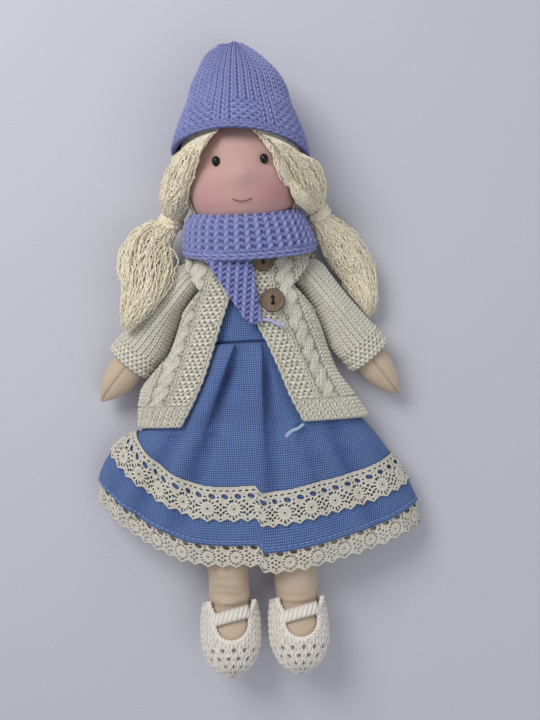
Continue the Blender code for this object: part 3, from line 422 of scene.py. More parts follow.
def step(low, high, value):
    part = np.clip((value - low) / (high - low), 0, 1)
    return part * part * (3 - 2 * part)


def frac(value):
    return value - np.floor(value)


# Meshes

def mesh_of(name, vertices, faces, values=None):
    """An object of numpy vertices and faces: a list of arrays, each with faces of one size."""
    used = np.unique(np.concatenate([f.ravel() for f in faces]))
    new = np.full(len(vertices), -1)
    new[used] = np.arange(len(used))
    loops = np.concatenate([new[f].ravel() for f in faces])
    sizes = np.concatenate([np.full(len(f), f.shape[1]) for f in faces])
    mesh = bpy.data.meshes.new(name)
    mesh.vertices.add(len(used))
    mesh.vertices.foreach_set("co", (vertices[used] + SHIFT).astype(np.float32).ravel())
    mesh.loops.add(len(loops))
    mesh.loops.foreach_set("vertex_index", loops.astype(np.int32))
    mesh.polygons.add(len(sizes))
    starts = np.concatenate([[0], np.cumsum(sizes)[:-1]])
    mesh.polygons.foreach_set("loop_start", starts.astype(np.int32))
    mesh.update(calc_edges=True)
    for key, value in (values or {}).items():
        value = np.asarray(value, float)[used]
        kind = "FLOAT" if value.ndim == 1 else "FLOAT_VECTOR"
        layer = mesh.attributes.new(key, kind, "POINT")
        layer.data.foreach_set("value" if value.ndim == 1 else "vector", value.astype(np.float32).ravel())
    mesh.shade_smooth()
    thing = bpy.data.objects.new(name, mesh)
    bpy.context.scene.collection.objects.link(thing)
    return thing


def cloth(name, points, height=0.0, thickness=MM, closed=True, caps=(), keep=None, st=None, pit=0.0,
          rim=1.0, edge=None, heart=None, way=None):
    """A sheet of cloth with a stitched outside.

    points is its outside by row and column; height is how far the stitches stand proud, and pit how dark
    each place is painted, mostly as painted shade for how deep it lies. keep says which faces stay, rim is the
    radius in mm of its rounded borders, and caps says which ends are closed. Its inside is painted all in shade.
    """
    count_rows, count = points.shape[:2]
    way = normals(points, closed, heart) if way is None else way
    height = np.broadcast_to(height, (count_rows, count))
    pit = np.broadcast_to(pit, (count_rows, count))
    down = fall(points) + np.zeros((1, count))
    if closed:
        across = np.zeros((count_rows, count))
    else:
        across = lengths(points, 1).mean(axis=0)[None, :] + np.zeros((count_rows, 1))
    if edge is None:
        near = np.full((count_rows, count), 1e3)
        if "start" not in caps:
            near = np.minimum(near, down)
        if "end" not in caps:
            near = np.minimum(near, down.max() - down)
        if not closed:
            near = np.minimum(near, np.minimum(across, across.max() - across))
        edge = near / rim
    edge = 0.2 + 0.8 * np.sqrt(1 - (1 - np.clip(edge, 0, 1)) ** 2)
    outer = points + way * ((-thickness / 2) + (height + thickness / 2) * edge)[:, :, None]
    inner = points + way * ((-thickness / 2) - thickness / 2 * edge)[:, :, None]
    vertices = np.concatenate([outer.reshape(-1, 3), inner.reshape(-1, 3)])
    total = count_rows * count
    faces, walls = grid_faces(count_rows, count, closed, keep, caps)
    flipped = needs_flip(points, faces, way)
    if flipped:
        faces = faces[:, ::-1]
        walls = walls[:, ::-1]
    groups = [np.concatenate([faces, faces[:, ::-1] + total, walls])]
    for end, row in (("start", 0), ("end", count_rows - 1)):
        if end in caps:
            ring = np.arange(count) + row * count
            top = ring if (end == "end") != flipped else ring[::-1]
            groups.append(top[None, :])
            groups.append(top[None, ::-1] + total)
    if st is None:
        st = (across, down)
    coords = np.stack([*(np.broadcast_to(v, (count_rows, count)) for v in st), 0 * down], axis=2)
    values = {
        "cloth": np.concatenate([coords.reshape(-1, 3)] * 2),
        # painted shade: the outside as dark as its pit marks say, the inside in full shade
        "pit": np.concatenate([pit.ravel(), np.ones(total)]),
    }
    return mesh_of(name, vertices, groups, values)


def grid_faces(count_rows, count, closed, keep, caps):
    """The faces of a grid's outside, and the walls from it to the inside round every border and hole."""
    total = count_rows * count
    index = np.arange(total).reshape(count_rows, count)
    right = np.roll(index, -1, axis=1)
    low, low_right, high, high_right = index[:-1], right[:-1], index[1:], right[1:]
    kept = np.ones(low.shape, bool) if keep is None else keep.copy()
    if not closed:
        kept[:, -1] = False
    faces = np.stack([low, low_right, high_right, high], axis=2)[kept]
    walls = []
    before = np.roll(kept, 1, axis=1)
    for here, order in ((kept & ~before, 1), (~kept & before, -1)):
        a, b = index[:-1][here], index[1:][here]
        a, b = (b, a)[::order]
        walls.append(np.stack([a + total, a, b, b + total], axis=1))
    padded = np.zeros((count_rows + 1, count), bool)
    padded[1:-1] = kept
    if "start" in caps:
        padded[0] = kept[0]
    if "end" in caps:
        padded[-1] = kept[-1]
    below, above = padded[:-1], padded[1:]
    for here, order in ((above & ~below, 1), (below & ~above, -1)):
        a, b = index[here], right[here]
        a, b = (a, b)[::order]
        walls.append(np.stack([a + total, b + total, b, a], axis=1))
    return faces, np.concatenate(walls)


def needs_flip(points, faces, way):
    """Whether the faces look into the cloth."""
    flat, out = points.reshape(-1, 3), way.reshape(-1, 3)
    a, b, c = flat[faces[:, 0]], flat[faces[:, 1]], flat[faces[:, 3]]
    return np.sum(np.cross(b - a, c - a) * out[faces[:, 0]]) < 0


def solid(name, points):
    """A closed form through rings."""
    count_rows, count = points.shape[:2]
    faces, _ = grid_faces(count_rows, count, True, None, ("start", "end"))
    flipped = needs_flip(points, faces, normals(points, True))
    if flipped:
        faces = faces[:, ::-1]
    ends = [np.arange(count), np.arange(count) + (count_rows - 1) * count]
    start = ends[0][::1 if flipped else -1][None, :]
    end = ends[1][::-1 if flipped else 1][None, :]
    flat = points.reshape(-1, 3)
    down = fall(points) + np.zeros((1, count))
    around = np.zeros((count_rows, 1)) + np.arange(count)[None, :]
    coords = np.stack([around, down, 0 * down], axis=2).reshape(-1, 3)
    return mesh_of(name, flat, [faces, start, end], {"cloth": coords, "pit": np.zeros(len(flat))})


def round_frame(along):
    """Two directions square to each other and to the way along a strand."""
    along = unit(along)
    first = unit(np.cross(along, np.array((0.31, 0.17, 0.94))))
    return first, np.cross(along, first)


def strands(name, paths, radius, sides=5, pits=None):
    """Round strands of yarn along their paths: [strand, point, 3]. pits is how dark each strand is painted, for its
    tone and for painted shade.
    """
    paths = np.asarray(paths)
    number, count = paths.shape[:2]
    radius = np.broadcast_to(radius, (number, count))
    first, second = round_frame(np.gradient(paths, axis=1))
    turn = np.arange(sides) / sides * TAU
    out = first[:, :, None] * np.cos(turn)[:, None] + second[:, :, None] * np.sin(turn)[:, None]
    vertices = paths[:, :, None, :] + out * radius[:, :, None, None]
    index = np.arange(number * count * sides).reshape(number, count, sides)
    right = np.roll(index, -1, axis=2)
    faces = np.stack([index[:, :-1], right[:, :-1], right[:, 1:], index[:, 1:]], axis=3).reshape(-1, 4)
    ends = np.concatenate([index[:, 0, ::-1], index[:, -1, :]])
    pits = np.zeros(number) if pits is None else np.asarray(pits)
    dark = np.broadcast_to(pits[:, None, None], index.shape).ravel()
    strand = np.repeat(np.arange(number), count * sides)
    down = np.tile(np.repeat(np.arange(count), sides), number)
    coords = np.stack([strand, down, 0 * down], axis=1)
    return mesh_of(name, vertices.reshape(-1, 3), [faces, ends], {"cloth": coords, "pit": dark})


def ply(name, points, radius, plies=3, pitch=0.0035, fluff=0.0):
    """A twisted yarn or thread along a few points. fluff is how much looser its plies lie at its end."""
    points = np.asarray(points, float)
    at = run_of(points)
    where = np.linspace(0, at[-1], max(12, int(at[-1] / (radius * 0.45))))
    path = curve(at, points, where)
    first, second = round_frame(np.gradient(path, axis=0))
    paths = []
    for i in range(plies):
        turn = where / pitch * TAU + i * TAU / plies
        out = first * np.cos(turn)[:, None] + second * np.sin(turn)[:, None]
        paths.append(path + (radius * 0.5 * (1 + fluff * (where / at[-1]) ** 2))[:, None] * out)
    return strands(name, np.array(paths), radius * 0.55, 7)


def frame_at(place, degrees, parent=None):
    turn = Euler([math.radians(d) for d in degrees]).to_matrix().to_4x4()
    made = Matrix.Translation(place) @ turn
    return np.array(parent @ made if parent is not None else made)


def placed(points, matrix):
    return points @ matrix[:3, :3].T + matrix[:3, 3]


# Stuffed limbs

SIM_SCALE = 20.0  # cloth so small only swells when it is simulated larger
SIM_PRESSURE = 60.0
SIM_FRAMES = 20
SIM_STIFFNESS = 5.0
SIM_BENDING = 0.1
SIM_ROWS, SIM_COLUMNS = 3, 2  # one simulated ring and column for so many modelled ones
MOST_SWELLING = 0.0010


def stuffed(points, sewn):
    """A closed limb's rings, swollen by a cloth simulation.

    sewn is 1 where the cloth can't give and 0 where it can.
    """
    coarse = points[::SIM_ROWS, ::SIM_COLUMNS]
    rows, around = coarse.shape[:2]
    thing = solid("pumped_cloth", coarse * SIM_SCALE)
    group = thing.vertex_groups.new(name="sewn")
    weights = np.broadcast_to(sewn, points.shape[:2])[::SIM_ROWS, ::SIM_COLUMNS].copy()
    weights[[0, -1]] = 1.0
    weights = np.round(weights, 1).ravel()
    for weight in np.unique(weights[weights > 0]):
        group.add(np.flatnonzero(weights == weight).tolist(), float(weight), "REPLACE")
    pump = thing.modifiers.new("pump", "CLOTH").settings
    pump.use_pressure = True
    pump.uniform_pressure_force = SIM_PRESSURE
    pump.vertex_group_mass = "sewn"
    pump.effector_weights.gravity = 0
    pump.tension_stiffness = pump.compression_stiffness = SIM_STIFFNESS
    pump.bending_stiffness = SIM_BENDING
    for number in range(1, SIM_FRAMES + 1):
        bpy.context.scene.frame_set(number)
    found = np.zeros(coarse.size, np.float32)
    shown = thing.evaluated_get(bpy.context.evaluated_depsgraph_get()).data
    shown.vertices.foreach_get("co", found)
    bpy.context.scene.frame_set(1)
    mesh = thing.data
    bpy.data.objects.remove(thing)
    bpy.data.meshes.remove(mesh)
    move = (found.reshape(coarse.shape) - SHIFT) / SIM_SCALE - coarse
    size = np.linalg.norm(move, axis=2, keepdims=True)
    move = move * np.minimum(1, MOST_SWELLING / np.maximum(size, 1e-9))
    at = np.minimum(np.arange(points.shape[0]) / SIM_ROWS, rows - 1)
    low = at.astype(int)
    high = np.minimum(low + 1, rows - 1)
    move = move[low] + (move[high] - move[low]) * (at - low)[:, None, None]
    at = np.arange(points.shape[1]) / SIM_COLUMNS
    left = at.astype(int)
    right = (left + 1) % around
    return points + move[:, left] + (move[:, right] - move[:, left]) * (at - left)[None, :, None]


# Stitches: each takes columns and rows, and gives the height from 0 in a pit to 1 on top

FUZZ = 0.06


def stocking(col, row):
    """The V of a knit stitch."""
    off = np.abs(frac(col) - 0.5) * 2
    leg = np.sqrt(np.clip(1 - ((off - 0.48) / 0.52) ** 2, 0, 1))
    wave = np.abs(np.sin(math.pi * (row - 0.95 * off)))
    return leg * (0.25 + 0.75 * wave**0.6) * (1 - 0.5 * step(0.82, 1.0, off))


def bump(col, row, wide=0.5, tall=0.42):
    a = (frac(col) - 0.5) / wide
    b = (frac(row) - 0.5) / tall
    return np.sqrt(np.clip(1 - a * a - b * b, 0, 1))


def purl(col, row):
    """Rows of bumps, each between those of the next row."""
    parity = np.floor(row) % 2
    return bump(col + 0.5 * parity, row, 0.52, 0.46)


def garter(col, row):
    """Ridges across, of bumps that look up and down in turn."""
    arch = 0.09 * np.cos(TAU * col)
    up = bump(col, row - arch, 0.55, 0.30)
    down = bump(col + 0.5, row + 0.47 + arch, 0.55, 0.27)
    return np.maximum(up, 0.75 * down)


def rib(col, row):
    """Knit columns with sunk purl columns between them."""
    knit = stocking(col, row)
    back = 0.55 * bump(col + 0.5, row, 0.42, 0.40)
    part = np.abs(frac(col) - 0.5) * 2
    return np.where(part < 0.8, knit * np.sqrt(np.clip(1 - (part / 1.05) ** 4, 0, 1)), back)


def rope(across, along, half, pitch):
    """Two strands that cross: across and along in mm from the cable's middle."""
    best = np.zeros(np.broadcast(across, along).shape)
    for k in range(2):
        turn = TAU * along / pitch + math.pi * k
        middle = half * 0.48 * np.sin(turn)
        near = (across - middle) / (half * 0.62)
        lift = 0.85 + 0.35 * np.cos(turn)
        best = np.maximum(best, lift * np.sqrt(np.clip(1 - near**2, 0, 1)))
    return best


def grain(shape, seed, smooth=1):
    """Seeded soft noise from -1 to 1."""
    found = np.random.default_rng(seed).uniform(-1, 1, shape)
    for _ in range(smooth):
        for axis in (0, 1):
            found = (np.roll(found, 1, axis) + found * 2 + np.roll(found, -1, axis)) / 4
    return found / max(np.abs(found).max(), 1e-9)


def fuzzy(height, seed, amount=FUZZ):
    """Stitches made a little uneven."""
    return height + amount * grain(height.shape, seed, 2)


def painted_pit_shade(height, share=1.0, power=1.0):
    """Painted shade between the stitches: how dark the cloth is painted there."""
    return share * (1 - np.clip(height, 0, 1)) ** power


# Materials

def link(tree, source, target):
    tree.links.new(source, target)


def node(tree, kind, **values):
    made = tree.nodes.new(kind)
    for key, value in values.items():
        setattr(made, key, value)
    return made


def math_node(tree, operation, a, b=None, c=None):
    made = node(tree, "ShaderNodeMath", operation=operation)
    for i, value in enumerate((a, b, c)):
        if value is None:
            continue
        if isinstance(value, (int, float)):
            made.inputs[i].default_value = value
        else:
            link(tree, value, made.inputs[i])
    return made.outputs[0]


def mixed(tree, factor, first, second):
    """A mix of two colours, each a node's output or red, green and blue from 0 to 255."""
    made = node(tree, "ShaderNodeMix", data_type="RGBA")
    for i, value in ((0, factor), (6, first), (7, second)):
        if isinstance(value, tuple):
            made.inputs[i].default_value = (*srgb(*value), 1)
        elif isinstance(value, (int, float)):
            made.inputs[i].default_value = value
        else:
            link(tree, value, made.inputs[i])
    return made.outputs[2]


def clamped(tree, value):
    return math_node(tree, "MINIMUM", math_node(tree, "MAXIMUM", value, 0.0), 1.0)


def speckled(tree, speckles, amount, shade):
    """A shade with noise on it."""
    return math_node(tree, "MULTIPLY_ADD", math_node(tree, "SUBTRACT", speckles, 0.5), amount, shade)


def noise(tree, scale, detail=2.0, stretch=None, source="Object"):
    where = node(tree, "ShaderNodeTexCoord").outputs[source]
    if stretch:
        mapping = node(tree, "ShaderNodeMapping")
        mapping.inputs["Scale"].default_value = stretch
        link(tree, where, mapping.inputs["Vector"])
        where = mapping.outputs[0]
    made = node(tree, "ShaderNodeTexNoise")
    made.inputs["Scale"].default_value = scale
    made.inputs["Detail"].default_value = detail
    link(tree, where, made.inputs["Vector"])
    return made.outputs["Fac"]


def srgb(red, green, blue):
    """A colour as Blender stores it, from values of 0 to 255."""
    return tuple(
        v / 12.92 if v <= 0.04045 else ((v + 0.055) / 1.055) ** 2.4
        for v in (c / 255 for c in (red, green, blue))
    )


def finish_of(name, roughness, sheen=0.0, specular=0.3):
    made = bpy.data.materials.new(name)
    made.use_nodes = True
    tree = made.node_tree
    shader = tree.nodes["Principled BSDF"]
    shader.inputs["Roughness"].default_value = roughness
    shader.inputs["Specular IOR Level"].default_value = specular
    shader.inputs["Sheen Weight"].default_value = sheen
    return made, tree, shader


def attribute(tree, name):
    return node(tree, "ShaderNodeAttribute", attribute_name=name)


def bumped(tree, shader, height, strength, distance, before=None):
    made = node(tree, "ShaderNodeBump")
    made.inputs["Strength"].default_value = strength
    made.inputs["Distance"].default_value = distance
    link(tree, height, made.inputs["Height"])
    if before is not None:
        link(tree, before, made.inputs["Normal"])
    link(tree, made.outputs[0], shader.inputs["Normal"])
    return made.outputs[0]


def yarn(name, light, dark, fibre=2600, patch=260, sheen=0.15, fluff=0.5, depth=1.0):
    """Spun yarn: painted shade in the pits and its own colour on the stitches, with fibres and uneven dye."""
    made, tree, shader = finish_of(name, 0.92, sheen, 0.2)
    pit = attribute(tree, "pit").outputs["Fac"]
    fine = noise(tree, fibre, 3.0)
    broad = noise(tree, patch, 2.0)
    # painted shade from the pit marks, towards the dark colour
    shade = math_node(tree, "MULTIPLY", pit, depth)
    shade = speckled(tree, fine, fluff, shade)
    shade = speckled(tree, broad, 0.35, shade)
    shade = clamped(tree, shade)
    link(tree, mixed(tree, shade, light, dark), shader.inputs["Base Color"])
    bumped(tree, shader, fine, 0.8, 0.0003)
    return made


def woven(name, light, dark, cell, pits, sheen=0.1):
    """Plain cloth: threads across and along, with painted shade in a pit between them in every cell, and the piece's
    own painted shade from its pit marks.
    """
    made, tree, shader = finish_of(name, 0.88, sheen, 0.25)
    parts = node(tree, "ShaderNodeSeparateXYZ")
    link(tree, attribute(tree, "cloth").outputs["Vector"], parts.inputs[0])
    waves = []
    for i in range(2):
        turn = math_node(tree, "MULTIPLY", parts.outputs[i], TAU / cell)
        waves.append(math_node(tree, "MULTIPLY_ADD", math_node(tree, "COSINE", turn), 0.5, 0.5))
    gap = math_node(tree, "MULTIPLY", waves[0], waves[1])
    fine = noise(tree, 3000, 2.0)
    broad = noise(tree, 150, 2.0)
    gap = math_node(tree, "MULTIPLY_ADD", gap, 2.6, -0.45)
    gap = clamped(tree, gap)
    # pits is how dark the painted shade in each cell's pit is
    shade = math_node(tree, "MULTIPLY", gap, pits)
    shade = speckled(tree, fine, 0.5, shade)
    shade = speckled(tree, broad, 0.3, shade)
    # the piece's painted shade and seams, from its pit marks
    pit = attribute(tree, "pit").outputs["Fac"]
    shade = math_node(tree, "ADD", shade, pit)
    shade = clamped(tree, shade)
    link(tree, mixed(tree, shade, light, dark), shader.inputs["Base Color"])
    height = math_node(tree, "MULTIPLY_ADD", fine, 0.25, math_node(tree, "SUBTRACT", 1.0, gap))
    bumped(tree, shader, height, 0.5, 0.0003)
    return made


def jersey(name, light, dark, blush=None):
    """Fine cotton jersey, darker with the painted shade of its pit marks, with a blush where the piece has one."""
    made, tree, shader = finish_of(name, 0.8, 0.25, 0.25)
    fine = noise(tree, 3500, 2.0, (1.0, 0.35, 1.0))
    broad = noise(tree, 90, 2.0)
    pit = attribute(tree, "pit").outputs["Fac"]
    shade = speckled(tree, fine, 0.5, pit)
    shade = speckled(tree, broad, 0.5, shade)
    shade = clamped(tree, shade)
    colour = mixed(tree, shade, light, dark)
    if blush:
        colour = mixed(tree, attribute(tree, "blush").outputs["Fac"], colour, blush)
    link(tree, colour, shader.inputs["Base Color"])
    bumped(tree, shader, fine, 0.25, 0.00012)
    return made


def wooden(name):
    """Dark stained wood with grain and light scratches, with painted shade in its holes and a darker ring round its
    edge.
    """
    made, tree, shader = finish_of(name, 0.55, 0.0, 0.4)
    grain_lines = noise(tree, 700, 4.0, (1.0, 0.12, 1.0))
    scratch = noise(tree, 1500, 2.0, (0.25, 1.0, 1.0))
    pit = attribute(tree, "pit").outputs["Fac"]
    shade = math_node(tree, "MULTIPLY_ADD", grain_lines, 1.3, -0.35)
    shade = clamped(tree, shade)
    colour = mixed(tree, shade, (134, 114, 93), (68, 52, 40))
    worn = math_node(tree, "GREATER_THAN", scratch, 0.68)
    colour = mixed(tree, math_node(tree, "MULTIPLY", worn, 0.5), colour, (152, 134, 114))
    # pit: painted shade in the holes, and a darker ring round the edge
    colour = mixed(tree, pit, colour, (34, 24, 20))
    link(tree, colour, shader.inputs["Base Color"])
    bumped(tree, shader, grain_lines, 0.3, 0.0002)
    return made


def glossy_bead(name):
    made, tree, shader = finish_of(name, 0.36, 0.0, 0.25)
    speck = noise(tree, 2500, 1.0)
    link(tree, mixed(tree, speck, (8, 6, 6), (20, 16, 16)), shader.inputs["Base Color"])
    shader.inputs["Coat Weight"].default_value = 0.2
    bumped(tree, shader, speck, 0.05, 0.0001)
    return made


def table_cloth(name):
    made, tree, shader = finish_of(name, 0.9, 0.0, 0.2)
    fine = noise(tree, 900, 3.0)
    broad = noise(tree, 12, 2.0)
    colour = mixed(tree, fine, (208, 208, 216), (190, 190, 200))
    colour = mixed(tree, math_node(tree, "MULTIPLY", broad, 0.4), colour, (196, 197, 206))
    link(tree, colour, shader.inputs["Base Color"])
    bumped(tree, shader, fine, 0.2, 0.0002)
    return made


# The second colour of each yarn, woven and jersey look is its painted shade for pits, folds and creases; noise moves
# a little of each way too.
LOOKS = {
    "skin_cloth": jersey("skin_jersey", (202, 181, 158), (160, 138, 115)),
    "face_cloth": jersey("face_jersey", (200, 162, 154), (174, 136, 130), (204, 134, 140)),
    "wool_filling": yarn("loose_wool", (226, 218, 200), (180, 170, 150)),
    "hair_yarn": yarn("hair_strands", (250, 241, 218), (228, 214, 182), fibre=3200, sheen=0.3),
    "blue_knit": yarn("lilac_blue_yarn", (154, 160, 212), (74, 80, 136), fluff=0.8),
    "cream_knit": yarn("cream_yarn", (231, 227, 213), (146, 141, 122)),
    "blue_cotton": woven("blue_waffle", (101, 128, 180), (28, 46, 96), 1.15, 0.95),
    "cotton_lace": yarn("lace_thread", (222, 217, 204), (156, 149, 134), fibre=4200, depth=0.7),
    "white_cotton": woven("petticoat_cotton", (224, 220, 208), (176, 170, 156), 0.55, 0.35),
    "shoe_cotton": yarn("shoe_thread", (246, 240, 231), (160, 152, 142)),
    "wood": wooden("button_wood"),
    "black_bead": glossy_bead("eye_bead"),
    "red_thread": yarn("red_cotton", (158, 74, 76), (112, 42, 46), fibre=5000),
    "dark_thread": yarn("dark_cotton", (46, 38, 36), (16, 12, 12), fibre=5000),
    "blue_yarn": yarn("lilac_yarn_end", (190, 190, 226), (136, 138, 194)),
    "cream_yarn": yarn("pale_yarn_end", (176, 196, 218), (130, 146, 168)),
}
HEM_THREAD = yarn("pale_blue_thread", (150, 174, 220), (104, 128, 180), fibre=5000)


def dress(thing, slot, *nodes):
    """Give a piece the look listed for its slot, and let it stand for its solids."""
    thing.data.materials.append(LOOKS[slot])
    if nodes:
        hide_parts(*nodes)
    return thing


def knit_sheet(points, keep, closed=True):
    """Measure a knitted or sewn piece's width, row by row, and its area, as it would lie flat; nothing is done with
    them.
    """
    wide = np.linalg.norm(np.diff(points, axis=1), axis=2).sum(axis=1)
    if closed:
        wide = wide + np.linalg.norm(points[:, 0] - points[:, -1], axis=1)
    right = np.roll(points, -1, axis=1)
    area = np.linalg.norm(np.cross(right - points, np.gradient(points, axis=0)), axis=2)[:-1]
    if not closed:
        area = area[:, :-1]
        keep = None if keep is None else keep[:, :-1]
    area = float(area.sum() if keep is None else area[keep].sum())


def soft(thing, body, slot, *nodes):
    dress(thing, slot, *nodes)
    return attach(thing, body)


# Head

FACE_STEPS = (150, 170)
NOSE_SOFTNESS = 0.95
NOSE_LOOK_HEIGHT = 0.0027
EYE_LINE_DEPTH = 0.0010
EYE_LINE_HALF = 0.0045
EYE_DIMPLE = 0.0006  # how far the cloth is drawn in round an eye
EYE_SET = 0.0003  # how far a bead is drawn into it
CROWN_RISE = 0.0014
BLUSHES = ((0.0160, 0.0718, 0.0080, 0.60), (-0.0165, 0.0700, 0.0085, 0.35))


def nose_bump(x, y):
    """How far the face stands out at the nose and sinks along the line of the eyes."""
    up = y - (NECK_FOOT_Y + HEAD_LENGTH * NOSE_Y_SHARE)
    away = np.hypot(x / 1.2, up) / NOSE_RADIUS
    sunk = bell(up - HEAD_LENGTH * (EYE_Y_SHARE - NOSE_Y_SHARE), EYE_LINE_HALF)
    wide = 0.55 + 0.45 * np.clip(np.abs(x) / 0.012, 0, 1)
    return NOSE_LOOK_HEIGHT * bell(away, 1 / NOSE_SOFTNESS) - EYE_LINE_DEPTH * wide * sunk


def head_points(shares, angles, grow=0.0):
    size = (NECK_FOOT_Y, HEAD_LENGTH, HEAD_WIDTH, HEAD_DEPTH, HEAD_FLOOR)
    points = form(angles, HEAD_ROWS_SHARES, shares, *size)
    front = step(0.55, 0.8, (points[:, :, 2] - HEAD_FLOOR) / HEAD_DEPTH)
    points[:, :, 2] += nose_bump(points[:, :, 0], points[:, :, 1]) * front
    return points + normals(points, True) * grow


def face_height(x, y):
    """The height of the face's front above the table."""
    row = smooth_rows(HEAD_ROWS_SHARES, np.atleast_1d((y - NECK_FOOT_Y) / HEAD_LENGTH))[0]
    low, top = HEAD_FLOOR + HEAD_DEPTH * row[3], HEAD_FLOOR + HEAD_DEPTH * row[4]
    part = min(1.0, abs(x) / (HEAD_WIDTH / 2 * row[1]))
    return (low + top) / 2 + (top - low) / 2 * math.sqrt(1 - part**2) + float(nose_bump(x, y))


def paint(thing, key, values):
    layer = thing.data.attributes.new(key, "FLOAT", "POINT")
    layer.data.foreach_set("value", np.asarray(values, np.float32))


def places_of(thing):
    """A mesh's vertices along the doll's middle line."""
    found = np.zeros(len(thing.data.vertices) * 3, np.float32)
    thing.data.vertices.foreach_get("co", found)
    return found.reshape(-1, 3) - SHIFT


def make_head():
    rows, around = FACE_STEPS
    points = head_points(np.linspace(0, 1, rows), round_angles(around))
    points = domed(points, (0, CROWN_RISE, 0), 4)
    eye_y = NECK_FOOT_Y + HEAD_LENGTH * EYE_Y_SHARE
    dimple = np.zeros(points.shape[:2])
    for side in (-1, 1):
        away = np.hypot(points[:, :, 0] - side * EYE_SPACING / 2, points[:, :, 1] - eye_y)
        dimple += bell(away, 1.5 * EYE_RADIUS) * (points[:, :, 2] > HEAD_DEPTH / 2)
    # pit: painted shade round the eyes, where the cloth is drawn in
    head = cloth("head", points, -EYE_DIMPLE * dimple, SKIN_CLOTH, caps=("end",), pit=0.25 * dimple)
    at = places_of(head)
    blush = np.zeros(len(at))
    for x, y, radius, amount in BLUSHES:
        away = np.hypot((at[:, 0] - x) / 1.25, at[:, 1] - y) / radius
        blush += amount * np.exp(-(away**2) * 1.1)
    paint(head, "blush", blush * (at[:, 2] > HEAD_DEPTH / 2))
    soft(head, "torso", "face_cloth", "head_skin")
    for name, side in (("right_bead_eye", -1), ("left_bead_eye", 1)):
        x = side * EYE_SPACING / 2
        z = face_height(x, eye_y) + EYE_RADIUS * EYE_SINK_SHARE - EYE_SET
        soft(bead(name, np.array((x, eye_y, z))), "torso", "black_bead", name.replace("_bead", ""))
    points = []
    for part in np.linspace(-1, 1, 9):
        x = MOUTH_WIDTH / 2 * part
        y = NECK_FOOT_Y + HEAD_LENGTH * MOUTH_Y_SHARE + MOUTH_DROP * (part**2 - 1)
        points.append((x, y, face_height(x, y) + THREAD_RADIUS * (1.0 - 1.2 * abs(part) ** 6)))
    soft(ply("red_mouth", points, THREAD_RADIUS * 0.62, 2, 0.0018), "torso", "red_thread", "mouth_stitch")


def bead(name, middle):
    """An oval glass bead, a little flat where it is sewn on, with a soft ridge round it."""
    lat = np.linspace(-HALF_PI + 0.04, HALF_PI - 0.04, 25)
    turn = np.arange(36) / 36 * TAU
    wide = np.cos(lat) * EYE_RADIUS * (1 + 0.03 * bell(lat, 0.2))
    tall = np.sin(lat) * EYE_RADIUS * np.where(lat < 0, 0.8, 0.92)
    points = np.stack(
        [
            wide[:, None] * np.cos(turn),
            wide[:, None] * np.sin(turn) * 1.22,
            tall[:, None] + 0 * turn[None, :],
        ],
        axis=2,
    )
    return solid(name, points + middle)


# Hat

HAT_COLUMNS = 48
HAT_ROW = 0.0031
HAT_STITCH = 0.0015
HAT_ROWS_SHARES = (
    (0.00, 1.00, 1.00, -0.05, 1.00),
    (0.13, 0.93, 0.95, -0.05, 0.99),
    (0.27, 0.845, 0.87, -0.05, 0.95),
    (0.44, 0.74, 0.77, -0.03, 0.865),
    (0.60, 0.68, 0.71, 0.00, 0.77),
    (0.74, 0.58, 0.58, 0.06, 0.67),
    (0.86, 0.50, 0.40, 0.14, 0.57),
    (0.94, 0.41, 0.26, 0.19, 0.50),
    (1.00, 0.28, 0.13, 0.24, 0.44),
)
BRIM_DROP = 0.0042  # how far the brim's sides lie below its middle
HAT_STEPS = (165, 520)
HAT_CHAIN = 0.0036  # the chain of stitches along the brim
HAT_WAVE = 0.0005
HAT_TIP = (-0.0006, 0.0016, 0)
PURL_BLOCKS = (  # from and to across, from and to above the brim
    (-0.0240, -0.0120, 0.0038, 0.0160),
    (-0.0020, 0.0116, 0.0038, 0.0165),
    (0.0190, 0.0305, 0.0038, 0.0190),
)
BACK_BLOCKS = (0.004, 0.017)


def hat_points(shares, angles):
    rows = smooth_rows(HAT_ROWS_SHARES, shares)
    x, z = section(angles, rows, HAT_WIDTH, HAT_DEPTH)
    near_brim = 1 - rows[:, :1]
    y = HAT_BRIM_Y + HAT_LENGTH * rows[:, :1] + near_brim * (
        HAT_FRONT_RISE * z / HAT_DEPTH - HAT_TILT_SHARE * x
    )
    y = y - BRIM_DROP * near_brim**2 * np.abs(np.cos(angles))[None, :] ** 3
    return np.stack([x, y, z], axis=2)


def make_hat():
    rows, around = HAT_STEPS
    points = domed(hat_points(np.linspace(0, 1, rows), round_angles(around)), HAT_TIP, 8)
    down = fall(points) * MM
    around, total = girth(points, 20)
    col = np.broadcast_to(around / total * HAT_COLUMNS, points.shape[:2])
    row = down / HAT_ROW + 0 * col
    height = stocking(col, row)
    blocks = np.zeros(height.shape, bool)
    for left, right, low, high in PURL_BLOCKS:
        blocks |= (points[:, :, 0] > left) & (points[:, :, 0] < right) & (down > low) & (down < high)
    front = points[:, :, 2] > HAT_DEPTH * 0.4
    low, high = BACK_BLOCKS
    behind = (np.floor(col / 6) % 2 > 0) & (down > low) & (down < high)
    blocks = np.where(front, blocks, behind)
    height = np.where(blocks, 0.25 + 0.65 * garter(col, row * 0.8), height)
    height = np.where(down < HAT_CHAIN, 0.95 * stocking(down / HAT_CHAIN, col * 1.1), height)
    height = fuzzy(height, 3)
    wave = HAT_WAVE * np.sin(col * TAU / 8 + 1.3)
    # pit: painted shade between the stitches
    hat = cloth("knitted_hat", points, HAT_STITCH * (height - 0.55) + wave, HAT_KNIT, caps=("end",),
                pit=np.clip(1.15 - 1.1 * height, 0, 1), rim=1.2, st=(col, row))
    soft(hat, "hat", "blue_knit", "hat")
    knit_sheet(points, None)


# Hair

